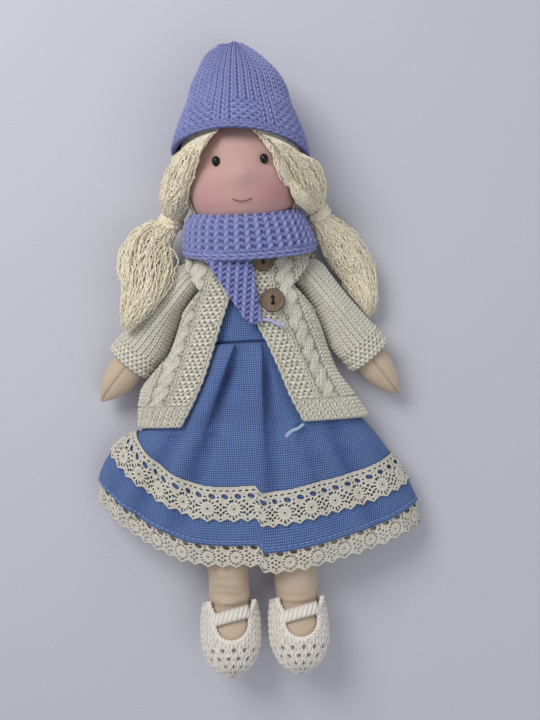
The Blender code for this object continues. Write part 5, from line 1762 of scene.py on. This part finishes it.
def make_scarf():
    angles = round_angles(420)
    shares = np.linspace(0, 1, 62)
    rows = smooth_rows(SCARF_ROWS_SHARES, shares)
    x, z = section(angles, rows, SCARF_WIDTH, SCARF_DEPTH)
    back = (1 - np.sin(angles))[None, :] / 2
    y = SCARF_TOP_Y - (SCARF_DROP - SCARF_BACK_RISE * back) * rows[:, :1]
    y = y + SCARF_CORNER_RISE * (1 - rows[:, :1]) ** 1.5 * np.abs(np.cos(angles))[None, :] ** 3
    y = y - SCARF_HANG * rows[:, :1] ** 3 * (1 - back)
    points = np.stack([x, y, z], axis=2)
    down = lengths(points, 0)
    around, total = girth(points, 30)
    col = around / total * round(total / SCARF_COLUMN) + 0 * down
    row = down / SCARF_BUMP
    height = scarf_stitch(col, row)
    left = down[-1:] - down
    height = np.where(left < SCARF_BRAID, 1.1 * stocking(left / SCARF_BRAID, col * 1.15), height)
    height = fuzzy(height, 61)
    roll = SCARF_ROLL * step(3.5, 0.0, down)
    ring = cloth("scarf_wrap", points, SCARF_STITCH * (height - 0.6) + roll, SCARF_KNIT, True,
                 pit=painted_pit_shade(height, 0.85), rim=2.0, st=(col, row))
    soft(ring, "torso", "blue_knit", "scarf")
    tail = make_tail()


def tail_tip_y():
    return button_y(LOWER_BUTTON_SHARE) - BUTTON_RADIUS - TAIL_PAST_BUTTON + TAIL_TUCK


def make_tail():
    tip_y = tail_tip_y()
    top_y = SCARF_TOP_Y - SCARF_DROP + TAIL_THICKNESS
    part = np.linspace(0, 1, 90)[:, None]
    across = np.linspace(-1, 1, 60)[None, :]
    half = (TAIL_TOP_WIDTH + (TAIL_TIP_WIDTH - TAIL_TOP_WIDTH) * part) / 2
    x = TAIL_TOP_X + (TAIL_TIP_X - TAIL_TOP_X) * part + across * half
    y = top_y + (tip_y - top_y) * part - TAIL_ARC * (1 - across**2) * step(0.8, 1.0, part)
    low = cardigan_top(np.zeros_like(part), y.mean(axis=1, keepdims=True)) + GAP + TAIL_LIFT * (1 - part)
    z = low + TAIL_THICKNESS * (1 - 0.25 * np.abs(across) ** 3) + 0 * x
    points = np.stack([x, y, z], axis=2)
    far = x / MM + 40
    down = (top_y - y) / MM
    height = scarf_stitch(far / TAIL_COLUMN + 0.12 * down / TAIL_COLUMN, down / TAIL_BUMP)
    height = fuzzy(height, 67)
    heart = points - np.array((0, 0, 1.0))
    tail = cloth("scarf_tail", points, TAIL_STITCH * (height - 0.6), TAIL_THICKNESS * 0.8, False,
                 pit=painted_pit_shade(height), rim=1.6, st=(far / TAIL_COLUMN, down / TAIL_BUMP), heart=heart)
    return soft(tail, "torso", "blue_knit")


def make_yarn_ends():
    tip_y = tail_tip_y()
    points = []
    for along, down in SCARF_END_SHARES:
        x = TAIL_TIP_X + TAIL_TIP_WIDTH / 2 + YARN_END_LENGTH * along
        z = float(cardigan_top(x / 2, tip_y)) + YARN_RADIUS + GAP
        points.append((x, tip_y - YARN_END_LENGTH * down, z))
    points.insert(0, (points[0][0] - 0.003, points[0][1] + 0.0006, points[0][2] - 0.0004))
    soft(ply("scarf_loose_end", points, YARN_RADIUS, 3, 0.003, 0.8), "torso", "blue_yarn", "scarf_yarn_end")
    corner = CARDIGAN_WIDTH / 2 * LEFT_EDGE_SHARES[0]
    points = []
    for across, down in CARDIGAN_END_SHARES:
        x = corner - YARN_END_LENGTH * across
        z = float(cardigan_top(x, CARDIGAN_HEM_Y)) - CARDIGAN_KNIT + YARN_RADIUS + GAP
        points.append((x, CARDIGAN_HEM_Y - YARN_END_LENGTH * down, z))
    end = ply("cardigan_loose_end", points, YARN_RADIUS, 3, 0.003, 1.2)
    soft(end, "torso", "cream_yarn", "cardigan_yarn_end")


# Torso and dress

BODICE_UNDER = 0.0022  # how far the bodice reaches under the skirt
FRONT_RISE = 0.0022  # how far the skirt swells between the cardigan's fronts
HEM_OVERLAP = 0.0045  # how much lower the hem lies left of the middle fold
SKIRT_STEPS = (190, 620)
PLEATS = ((-0.0070, -0.42), (0.0050, -0.02))  # x at the waist and run to the hem of the edges that lie on top
PLEAT_RISE = 0.0030
DRAPE = 0.0009
FOLDS = (  # x at the waist and run to the hem, half width at waist and hem, depth, from and to, all in mm
    (-5.0, -0.40, 2.0, 6.5, 3.6, 2, 95),
    (7.2, 0.00, 1.6, 5.0, 3.0, 4, 92),
    (21.5, 0.41, 4.0, 6.0, 3.6, 30, 102),
    (-17.0, -0.56, 3.5, 6.5, 3.0, 28, 100),
    (12.0, 0.28, 3.5, 6.0, 1.6, 38, 92),
    (-10.0, -0.40, 3.0, 5.0, 1.3, 45, 92),
    (30.0, 0.62, 4.0, 5.0, 1.8, 45, 105),
    (-30.0, -0.62, 4.0, 5.0, 1.8, 45, 105),
)


def torso_points(shares, angles, grow=0.0):
    size = (TORSO_FOOT_Y, TORSO_LENGTH, TORSO_WIDTH, TORSO_DEPTH, TORSO_FLOOR)
    points = form(angles, TORSO_ROWS_SHARES, shares, *size)
    return points + normals(points, True) * grow


def make_torso():
    points = torso_points(np.linspace(0, 1, 60), round_angles(80))
    skin = cloth("torso_cloth", points, 0.0, SKIN_CLOTH, caps=("start",))
    soft(skin, "torso", "skin_cloth", "torso_skin")
    points = torso_points(np.linspace(0.02, 0.9, 40), round_angles(60), -(SKIN_CLOTH + GAP))
    soft(solid("torso_stuffing", points), "torso", "wool_filling", "torso_wool")
    points = head_points(np.linspace(0.02, 0.97, 50), round_angles(60), -(SKIN_CLOTH + GAP))
    soft(solid("head_stuffing", points), "torso", "wool_filling", "head_wool")
    first = TORSO_ROWS_SHARES[WAIST_ROW][0] - BODICE_UNDER / TORSO_LENGTH
    points = torso_points(np.linspace(first, 1, 110), round_angles(300), GAP + DRESS_CLOTH)
    across, down = from_front(points), fall(points)
    # pit: painted shade on the part that lies under the skirt's edge
    bodice = cloth("dress_bodice", points, 0.0, DRESS_CLOTH, st=(across, down + 0 * across),
                   pit=0.9 * step(2.6, 1.7, down))
    soft(bodice, "torso", "blue_cotton", "bodice")
    knit_sheet(points, None)


def from_front(points):
    """Distance round each row in mm from the middle of the front."""
    around = lengths(points, 1)
    middle = np.argmin(np.abs(points[:, :, 0]) + 10 * (points[:, :, 2] < points[:, :, 2].mean()), axis=1)
    return around - np.take_along_axis(around, middle[:, None], axis=1)


def skirt_keys(angles):
    """The skirt's main sections from the waist to the hem."""
    grow = DRESS_CLOTH + PETTICOAT_CLOTH + 2 * GAP
    rows = np.array([TORSO_ROWS_SHARES[WAIST_ROW]])
    x, z = section(angles, rows, TORSO_WIDTH, TORSO_DEPTH, TORSO_FLOOR, grow)
    keys = [np.stack([x[0], 0 * x[0] - SKIRT_LENGTH * SKIRT_TOP_SHARE, z[0]], axis=1)]
    inside = -(CARDIGAN_KNIT + 2 * GAP)
    for row, share in reversed(list(zip(CARDIGAN_ROWS_SHARES, UNDER_CARDIGAN_SHARES))):
        x, z = section(angles, np.array([row]), CARDIGAN_WIDTH, CARDIGAN_DEPTH, 0.0, inside)
        y = CARDIGAN_HEM_Y + CARDIGAN_LENGTH * row[0]
        keys.append(np.stack([x[0] * share, 0 * x[0] + y, z[0]], axis=1))
    below = SKIRT_LENGTH + CARDIGAN_HEM_Y
    for row in SKIRT_ROWS_SHARES:
        x, z = section(angles, np.array([row]), SKIRT_WIDTH, SKIRT_DEPTH, HEM_FLOOR)
        lift = np.where(x[0] > 0, LEFT_SIDE_LIFT, RIGHT_SIDE_LIFT)
        y = CARDIGAN_HEM_Y - below * row[0] + lift * np.abs(np.cos(angles)) ** SIDE_LIFT_POWER * row[0]
        keys.append(np.stack([x[0], y, z[0]], axis=1))
    return np.array(keys)


def open_front(points):
    """1 in the opening between the cardigan's front edges and below its hem, down to 0 under the knit."""
    share = (points[:, :, 1] - CARDIGAN_HEM_Y) / CARDIGAN_LENGTH
    table = np.array(CARDIGAN_ROWS_SHARES)[:, 0]
    room = np.ones(share.shape)
    for edges, side in ((RIGHT_EDGE_SHARES, 1), (LEFT_EDGE_SHARES, -1)):
        edge = np.interp(share, table, np.array(edges)) * CARDIGAN_WIDTH / 2
        room = np.minimum(room, step(0.0, 0.006, (points[:, :, 0] - edge) * side))
    return np.maximum(room, step(-0.004, -0.02, share * CARDIGAN_LENGTH))


def skirt_surface(rows, columns):
    """The skirt's outside with its pleats and folds.

    Also gives each row's share of the way down, the way out of the skirt without folds, and the painted shade
    beside each pleat's edge and in each fold.
    """
    angles = round_angles(columns)
    points = through(skirt_keys(angles), rows)
    part = np.linspace(0, 1, rows)[:, None]
    front = np.clip(np.sin(angles), 0, 1)[None, :] ** 0.5
    folds = (
        0.9 * np.cos(9 * angles + 0.6)
        + 0.7 * np.cos(5 * angles - 1.1)
        + 0.5 * np.cos(14 * angles + 2.2)
    )[None, :]
    drop = DRAPE * (folds - 1.6) * step(0.25, 1.0, part) * front
    x, down = points[:, :, 0], -points[:, :, 1]
    room = open_front(points)
    drop = drop + FRONT_RISE * room * front * step(0.078, 0.048, down) * step(0, 0.03, part)
    shade = np.zeros(drop.shape)
    for place, run in PLEATS:
        off = place + run * down - x
        high = step(0.0, 0.035, part) * step(0.66, 0.20, part) * room * front
        fade, edge = 0.0075 + 0.03 * part, -0.0007 - 0.008 * part**2
        panel = np.where(off > 0, np.exp(-off / fade), step(edge, 0.0, off))
        drop = drop + PLEAT_RISE * high * panel
        # painted shadow beside the edge that lies on top
        shade = shade + 0.55 * high * np.where(off < 0, np.exp(off / 0.0035), 0.0)
    for place, run, narrow, broad, deep, first, last in FOLDS:
        line = place + run * down / MM
        half = np.interp(down / MM, (0, 100), (narrow, broad))
        valley = bell(x / MM - line, half)
        amount = step(first, first + 18, down / MM) * step(last + 12, last - 20, down / MM) ** 0.5
        drop = drop - deep * MM * valley * amount * front * (0.35 + 0.65 * room)
        # painted shade in the fold's valley
        shade = shade + 0.09 * deep * valley * amount * front
    drop = np.where(down < 0.047, np.maximum(drop, -0.0003), drop)
    way = normals(points, True)
    points = points + way * drop[:, :, None]
    points[:, :, 2] = np.maximum(points[:, :, 2], HEM_FLOOR)
    overlap = step(-0.0025, 0.0020, points[:, :, 0]) - 0.4
    points[:, :, 1] -= HEM_OVERLAP * overlap * bell(points[:, :, 0], 0.028) * part**3 * front
    return points, part, way, shade


# Lace, in mm where it isn't a height

LACE_REPEAT = 14.0
HEM_STITCH_UP = 2.4
HEM_STITCH_PITCH = 2.9
HEM_GROOVE = 0.0003
DASH_RADIUS = 0.00024
LACE_ABOVE_HEM = (17.0, 12.0, 13.0, 11.0)  # from the doll's right side to its left
SKIRT_LACE_WIDTH = 18.5
LACE_STEPS = (400, 1440)
CORD_HEIGHT = 0.0004
CORD_TWIST = 0.00012
PETTICOAT_STEP = 0.28
RUFFLE = 0.0006


def lace_field(across, down, width):
    """Distance in mm from each place of the lace to its nearest hole, and outside its pointed edge.

    down is measured from its straight top edge.
    """
    def hole(x, y, rx, ry, degrees):
        c, s = math.cos(math.radians(degrees)), math.sin(math.radians(degrees))
        return (np.hypot((x * c + y * s) / rx, (y * c - x * s) / ry) - 1) * min(rx, ry)

    def wrap(value, period):
        return (frac(value / period + 0.5) - 0.5) * period

    half = LACE_REPEAT / 2
    size = width / 18.5
    middle = width * 0.62
    flower, other = wrap(across, LACE_REPEAT), wrap(across + half, LACE_REPEAT)
    holes = [  # place across, below the top, half sizes and turn
        (wrap(across, half / 2), width * 0.11, 1.05, 0.42, 0),
        (wrap(across + 2.2, half), width * 0.27, 1.9, 1.2, -24),
        (wrap(across + 5.6, half), width * 0.29, 0.5, 0.5, 0),
        (wrap(across + 5.3, half), width * 0.40, 0.85, 0.5, 20),
        (flower, middle, 0.5, 0.6, 0),
        (wrap(across, half), width - 1.8, 0.55, 0.5, 0),
    ]
    for degrees in range(12, 372, 24):
        x, y = (4.2 * size * f(math.radians(degrees)) for f in (math.cos, math.sin))
        holes.append((flower - x, middle + y, 0.85 * size, 0.36, degrees))
    for x, y in ((0.0, -2.4), (0.0, 0.3), (0.0, 3.0), (-1.6, -1.0), (1.6, -1.0), (-1.5, 1.9), (1.5, 1.9)):
        holes.append((other - x, middle + y * size, 0.62, 0.72 * size, 30 * x))
    point = width - 2.0 * (np.abs(wrap(across, half)) / (half / 2)) ** 0.8
    picot = 0.2 * np.cos(TAU * across / 0.875)
    best = np.minimum((point + picot - down) * 0.8, down + 0.1)
    for place, below, wide, tall, degrees in holes:
        best = np.minimum(best, hole(place, down - below, wide, tall, degrees))
    return best


def make_lace(name, points, way, across, down, width, *nodes):
    """Cotton lace with real holes, raised cords round them and a scalloped edge."""
    field = lace_field(across, down, width)
    centre = (field[:-1] + field[1:]) / 2
    centre = (centre + np.roll(centre, -1, axis=1)) / 2
    keep = centre > 0
    cord = bell(field - 0.3, 0.28)
    twist = 0.5 + 0.5 * np.sin(across * TAU / 0.9 + down * 3.0)
    spokes = np.arctan2(down - width * 0.62, (frac(across / LACE_REPEAT + 0.5) - 0.5) * LACE_REPEAT)
    twist = 0.6 * twist + 0.4 * (0.5 + 0.5 * np.cos(30 * spokes))
    height = CORD_HEIGHT * cord * (0.6 + 0.4 * twist) + CORD_TWIST * twist
    # pit: painted shade on the lower lace between its raised cords
    lace = cloth(name, points, height, LACE, True, keep=keep, pit=np.clip(0.55 - 0.6 * cord, 0, 1),
                 edge=np.clip(field / 0.3, 0, 1), st=(across, down + 0 * across), way=way)
    dress(lace, "cotton_lace", *nodes)
    return lace


def make_skirt():
    points, _, _, shade = skirt_surface(*SKIRT_STEPS)
    way = normals(points, True)
    across = from_front(points)
    down = lengths(points, 0)
    mean_down = down.mean(axis=1)[:, None] + 0 * across
    left = down[-1:] - down
    groove = -HEM_GROOVE * bell(left - HEM_STITCH_UP, 0.8)
    seam = 0.6 * step(1.4, 0.2, down)
    # pit: a darker seam at the waist, and painted shade by the pleats and in the folds
    skirt = cloth("dress_skirt", points, groove, DRESS_CLOTH, True, st=(across, mean_down),
                  pit=np.clip(seam + shade, 0, 0.7), way=way)
    dress(skirt, "blue_cotton", "skirt")

    points, part, straight, _ = skirt_surface(*LACE_STEPS)
    way = normals(points, True)
    down = lengths(points, 0)
    across = from_front(points)
    ring = np.mean(np.abs(across[-1, [0, -1]])) * 2
    repeats = round(ring / LACE_REPEAT)
    hem_across = (across[-40] / ring * repeats * LACE_REPEAT)[None, :] + 0 * across
    total = down[-1:]
    top_left = np.interp(points[-1, :, 0] / (SKIRT_WIDTH / 2), (-1, -0.4, 0.4, 1), LACE_ABOVE_HEM)[None, :]
    lace_down = down - (total - top_left - SKIRT_LACE_WIDTH)
    band = rows_between(lace_down, -0.3, SKIRT_LACE_WIDTH + 0.8)
    lace = make_lace("skirt_lace_band", (points + way * (GAP + LACE))[band], way[band], hem_across[band],
                     lace_down[band], SKIRT_LACE_WIDTH, "skirt_lace")

    under = -(DRESS_CLOTH + GAP)
    base = points + way * under
    left = total - down
    covered = left < PETTICOAT_LACE_COVER / MM
    start = int(np.argmax(covered.all(axis=1)))
    upper, upper_way = base[start:], way[start:]
    reach = (PETTICOAT_LACE_WIDTH - PETTICOAT_LACE_COVER) / MM
    drops = np.arange(1, int(reach / PETTICOAT_STEP) + 3) * PETTICOAT_STEP
    flare = unit(unit(points[-1] - points[-8]) * 0.35 + np.array((0, -0.65, -0.06)))
    lower = base[-1][None] + flare[None] * (drops * MM)[:, None, None]
    ruffle = np.sin(hem_across[-1] / 2.1) + 0.6 * np.sin(hem_across[-1] / 3.7 + 1)
    lower[:, :, 2] += RUFFLE * ruffle[None, :] * (drops / drops[-1])[:, None]
    lower[:, :, 2] = np.maximum(lower[:, :, 2], GAP)
    petticoat_points = np.concatenate([upper, lower])
    petticoat_way = np.concatenate([upper_way, np.repeat(way[-1][None], len(drops), axis=0)])
    lace_down = lengths(petticoat_points, 0)
    lace_down = lace_down - lace_down[len(upper) - 1] + PETTICOAT_LACE_COVER / MM
    wide = np.concatenate([hem_across[start:], np.repeat(hem_across[-1:], len(drops), axis=0)])
    hem_lace = make_lace("petticoat_lace_band", petticoat_points, petticoat_way, wide, lace_down,
                         PETTICOAT_LACE_WIDTH / MM, "petticoat_lace")

    deeper = under - (LACE + GAP) * step(0.80, 0.86, part)[:, :, None]
    plain = (points + straight * deeper)[::3, ::2]
    petticoat = cloth("petticoat_cloth", plain, 0.0, PETTICOAT_CLOTH, True,
                      st=(from_front(plain), fall(plain) + 0 * plain[:, :, 0]))
    dress(petticoat, "white_cotton", "petticoat")
    start, end = (tuple(np.array((0, y, HIP_Z)) + SHIFT) for y in (CARDIGAN_HEM_Y, HIP_Y - 0.016))
    for thing in (skirt, lace, hem_lace, petticoat):
        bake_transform(thing)
    dashes = make_topstitch(points, way, hem_across, left)
    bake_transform(dashes)


def make_topstitch(points, way, across, left):
    """A row of stitches of paler thread along the skirt's hem."""
    row = int(np.argmin(np.abs(left - HEM_STITCH_UP).mean(axis=1)))
    order = np.argsort(across[row])
    sorted_across = across[row][order]
    line = (points[row] + way[row] * 0.0001)[order]
    count = int(np.ptp(sorted_across) / HEM_STITCH_PITCH)
    paths = []
    for i in range(count):
        at = sorted_across[0] + (i + np.linspace(0, 0.68, 5)) * HEM_STITCH_PITCH
        paths.append(np.stack([np.interp(at, sorted_across, line[:, k]) for k in range(3)], axis=1))
    dashes = strands("hem_topstitch", paths, DASH_RADIUS, 6)
    dashes.data.materials.append(HEM_THREAD)
    return dashes


def rows_between(value, low, high):
    """The rows of a grid that hold any place between two values."""
    found = np.flatnonzero(((value >= low) & (value <= high)).any(axis=1))
    return slice(found[0], found[-1] + 1)


# Legs and shoes

CROCHET = 3.3  # mm between crochet stitches
CREASE_DEPTH = 0.0006
SHOE_COLUMNS = 22
SHOE_STEPS = (120, 230)
SHOE_STITCH = 0.0014
STRAP_STITCH = 0.0016
STRAP_STEPS = (16, 60)
EDGING_RADIUS = 0.0013
WRINKLES = {-1: ((0.006, 0.45), (0.0095, 0.5), (0.014, 0.3)), 1: ((0.003, 0.35),)}  # above the ankle, depth
LEG_FREE = 0.045  # how far above the ankle the leg is free to swell
FOOT_LOOK_LENGTH = 0.0350
STRAP_TILT = 0.0022  # each end of the strap lies this far up or down the foot
OPENING_SHIFT = 0.0014
RIM_TAPER = 0.07  # how much narrower the shoe is at its rim
RIM_FLARE = 0.0026  # how much wider the opening is there, on each side


def hip_frame(side):
    return frame_at((LEG_MIDDLE_X + side * LEG_SPACING / 2, HIP_Y, HIP_Z), (0, 0, 0))


def foot_frame(side):
    foot = frame_at((0, -ANKLE_DISTANCE, 0), (-FOOT_RISE_DEGREES, 0, 0))
    return hip_frame(side) @ foot


def leg_keys(angles, grow=0.0):
    """Sections of the leg and foot in the hip's frame."""
    keys = []
    for along, share in LEG_ROWS_SHARES:
        half = LEG_WIDTH / 2 * share + grow
        y = np.full(len(angles), -ANKLE_DISTANCE * along)
        keys.append(np.stack([half * np.cos(angles), y, half * np.sin(angles)], axis=1))
    turn = frame_at((0, -ANKLE_DISTANCE, 0), (-FOOT_RISE_DEGREES, 0, 0))
    for along, wide, deep in FOOT_ROWS_SHARES:
        y = np.full(len(angles), -FOOT_LOOK_LENGTH * along)
        ring = np.stack([(FOOT_WIDTH / 2 * wide + grow) * np.cos(angles), y,
                         (FOOT_DEPTH / 2 * deep + grow) * np.sin(angles)], axis=1)
        keys.append(placed(ring, turn))
    return np.array(keys)


def make_leg(name, side):
    angles = round_angles(110)
    points = through(leg_keys(angles), 190)
    up = points[:, :, 1] + ANKLE_DISTANCE
    tight = np.where((up > LEG_FREE) | (up < 0.001), 1.0, 0.0)
    for wrinkle, _ in WRINKLES[side]:
        tight = np.maximum(tight, 0.9 * (np.abs(up - wrinkle) < 0.0012))
    points = stuffed(points, tight)
    y = points[:, :, 1]
    over = np.clip(np.sin(angles), 0, 1)[None, :]
    crease = bell(y + ANKLE_DISTANCE, 0.0009) * over
    for up, deep in WRINKLES[side]:
        line = y + ANKLE_DISTANCE - up + 0.0006 * np.sin(points[:, :, 0] / 0.003)
        crease = crease + deep * bell(line, 0.0012) * over**2
    # pit: painted shade in the crease at the ankle and in the wrinkles
    skin = cloth(name + "_leg_cloth", placed(points, hip_frame(side)), -CREASE_DEPTH * crease, SKIN_CLOTH,
                 caps=("start", "end"), pit=0.6 * crease)
    soft(skin, name + "_leg", "skin_cloth", name + "_leg_skin")
    inner = through(leg_keys(round_angles(40), -(SKIN_CLOTH + GAP)), 60)[2:-2]
    soft(solid(name + "_leg_stuffing", placed(inner, hip_frame(side))), name + "_leg", "wool_filling",
         name + "_leg_wool")
    make_shoe(name, side)


def shoe_rows():
    rows = [(SHOE_RIM_SHARE, 1, 1)]
    widest = max(FOOT_ROWS_SHARES, key=lambda row: row[1])[0]
    for along, wide, deep in FOOT_ROWS_SHARES[1:]:
        rows.append((along, 1, 1) if along < widest else (along, wide, deep))
    return np.array(rows)


def make_shoe(name, side):
    matrix = foot_frame(side)
    body = name + "_shoe"
    steps, count = SHOE_STEPS
    angles = round_angles(count)
    table = shoe_rows()
    fine = np.linspace(table[0, 0], 1, steps)
    wide = np.minimum(curve(table[:, 0], table[:, 1], fine), 1.0)
    deep = np.minimum(curve(table[:, 0], table[:, 2], fine), 1.0)
    points = np.stack(
        [
            FOOT_WIDTH / 2 * wide[:, None] * np.cos(angles),
            -FOOT_LOOK_LENGTH * fine[:, None] + 0 * angles,
            FOOT_DEPTH / 2 * deep[:, None] * np.sin(angles),
        ],
        axis=2,
    )
    points = domed(points, (0, -0.0014, 0), 10)
    grown = points + normals(points, True) * (TURN_GAP + SHOE_CROCHET)
    grown[-10:] = domed(grown[:-10], (0, -0.0016, 0), 10)[-10:]
    points = grown
    points[:, :, 0] *= 1 - RIM_TAPER * step(-0.011, -0.001, points[:, :, 1])
    x, y = points[:, :, 0] - OPENING_SHIFT, points[:, :, 1]
    half = SHOE_OPENING_WIDTH / 2
    end = FOOT_LENGTH * SHOE_OPENING_SHARE - half
    beyond = np.maximum(-end - y, 0)
    field = np.hypot(x, beyond) - half - RIM_FLARE * step(-0.009, -0.001, y)
    top = points[:, :, 2] > 0
    field = np.where(top, field, 1.0)
    middle = (field[:-1] + field[1:]) / 2
    keep = (middle + np.roll(middle, -1, axis=1)) / 2 > 0
    down = fall(points)
    around = np.arange(count)[None, :] / count * SHOE_COLUMNS + 0 * down
    row = down / CROCHET + 0 * around
    height = 0.9 * np.maximum(stocking(around, row), 0.8 * purl(around + 0.25, row))
    airy = step(20, 25, down)
    gaps = bump(around / 1.5 + 0.5 * (np.floor(row / 1.4) % 2), row / 1.4, 0.2, 0.27) * airy
    height = fuzzy(height * (1 - 0.5 * gaps) - 0.9 * gaps, 81 + side)
    # pit: painted shade between the crochet stitches
    shoe = cloth(name + "_crochet_shoe", placed(points, matrix), SHOE_STITCH * (height - 0.75), SHOE_CROCHET,
                 caps=("end",), keep=keep, pit=np.clip(0.8 * (1 - height), 0, 1), st=(around, row), rim=1.0)
    soft(shoe, body, "shoe_cotton", name + "_shoe")

    turn = np.linspace(0, math.pi, 24)
    outline = [(half, -y) for y in np.linspace(FOOT_LENGTH * SHOE_RIM_SHARE, end, 14)[:-1]]
    outline += [(half * math.cos(t), -end - half * math.sin(t)) for t in turn]
    outline += [(-half, -y) for y in np.linspace(end, FOOT_LENGTH * SHOE_RIM_SHARE, 14)[1:]]
    outline = np.array(outline)
    outline[:, 0] *= 1 + RIM_FLARE / half * step(-0.009, -0.001, outline[:, 1])
    outline = outline + (OPENING_SHIFT, 0)
    along = -outline[:, 1] / FOOT_LOOK_LENGTH
    rows = np.interp(along, fine, wide), np.interp(along, fine, deep)
    grown = TURN_GAP + SHOE_CROCHET * 0.55
    across = np.clip(outline[:, 0] / (FOOT_WIDTH / 2 * rows[0] + grown), -1, 1)
    z = (FOOT_DEPTH / 2 * rows[1] + grown) * np.sqrt(1 - across**2)
    path = placed(np.column_stack([outline, z]), matrix)
    soft(ply(name + "_shoe_edging", path, EDGING_RADIUS, 2, 0.0042), body, "shoe_cotton")

    half_angle = math.asin((half - GAP) / (FOOT_WIDTH / 2 + TURN_GAP + SHOE_CROCHET)) * 1.25
    steps, count = STRAP_STEPS
    part = np.linspace(STRAP_FROM_SHARE - 0.01, STRAP_TO_SHARE + 0.03, steps)[:, None]
    turns = HALF_PI + half_angle * np.linspace(1, -1, count)[None, :]
    grown = TURN_GAP + SHOE_CROCHET
    points = np.stack(
        [
            (FOOT_WIDTH / 2 + grown) * np.cos(turns) + 0 * part,
            -FOOT_LENGTH * part + STRAP_TILT * np.cos(turns) / math.sin(half_angle),
            (FOOT_DEPTH / 2 + grown) * np.sin(turns) + 0 * part,
        ],
        axis=2,
    )
    slant = np.arange(count)[None, :] / 6.5 + np.arange(steps)[:, None] / steps
    arch = np.sin(math.pi * np.linspace(0.12, 0.88, steps))[:, None] ** 0.5
    height = (0.4 + 0.6 * np.abs(np.sin(math.pi * slant)) ** 0.7) * arch
    heart = placed(np.zeros((1, 3)), matrix)[None]
    # pit: painted shade between the crochet stitches
    strap = cloth(name + "_crochet_strap", placed(points, matrix), STRAP_STITCH * (height - 0.45), SHOE_CROCHET,
                  False, pit=np.clip(0.8 * (1 - height), 0, 1), rim=1.0, heart=heart)
    soft(strap, body, "shoe_cotton", name + "_shoe_strap")


# Table, lamps and camera

CAMERA_PLACE = (0.01022, 0.00132, 0.450)
CAMERA_TURN_DEGREES = -3.05
CAMERA_LENS = 40.4  # mm


def make_stage():
    bpy.ops.mesh.primitive_plane_add(size=3.0, location=(0, 0, -0.0004))
    floor = bpy.context.object
    floor.name = "table"
    floor.data.materials.append(table_cloth("table_linen"))


def area_lamp(name, place, aim, size, power, colour):
    lamp = bpy.data.lights.new(name, "AREA")
    lamp.shape = "DISK"
    lamp.size, lamp.energy, lamp.color = size, power, colour
    thing = bpy.data.objects.new(name, lamp)
    bpy.context.scene.collection.objects.link(thing)
    thing.location = place
    thing.rotation_euler = (Vector(aim) - Vector(place)).to_track_quat("-Z", "Y").to_euler()


def make_light():
    world = bpy.data.worlds.new("soft_room")
    world.use_nodes = True
    back = world.node_tree.nodes["Background"]
    back.inputs["Color"].default_value = (0.93, 0.95, 1.0, 1)
    back.inputs["Strength"].default_value = 0.45
    bpy.context.scene.world = world
    area_lamp("key_lamp", (-0.35, 0.45, 0.62), (0, 0, 0), 0.45, 3.7, (1.0, 0.985, 0.97))
    area_lamp("fill_lamp", (0.35, -0.35, 0.80), (0, 0, 0), 0.6, 1.2, (0.95, 0.97, 1.0))


def make_camera():
    camera = bpy.data.cameras.new("photo_camera")
    camera.lens = CAMERA_LENS
    camera.clip_start = 0.01
    thing = bpy.data.objects.new("photo_camera", camera)
    bpy.context.scene.collection.objects.link(thing)
    thing.location = CAMERA_PLACE
    thing.rotation_euler = (0, 0, math.radians(CAMERA_TURN_DEGREES))
    bpy.context.scene.camera = thing
    bpy.context.scene.view_settings.view_transform = "Standard"


make_head()
make_hat()
make_hair()
make_torso()
make_scarf()
make_yarn_ends()
make_cardigan()
make_button("lower_button", LOWER_BUTTON_X, LOWER_BUTTON_SHARE)
make_button("upper_button", UPPER_BUTTON_X, UPPER_BUTTON_LOOK_SHARE)
make_arm("right", -1)
make_arm("left", 1)
make_skirt()
make_leg("right", -1)
make_leg("left", 1)
make_stage()
make_light()
make_camera()
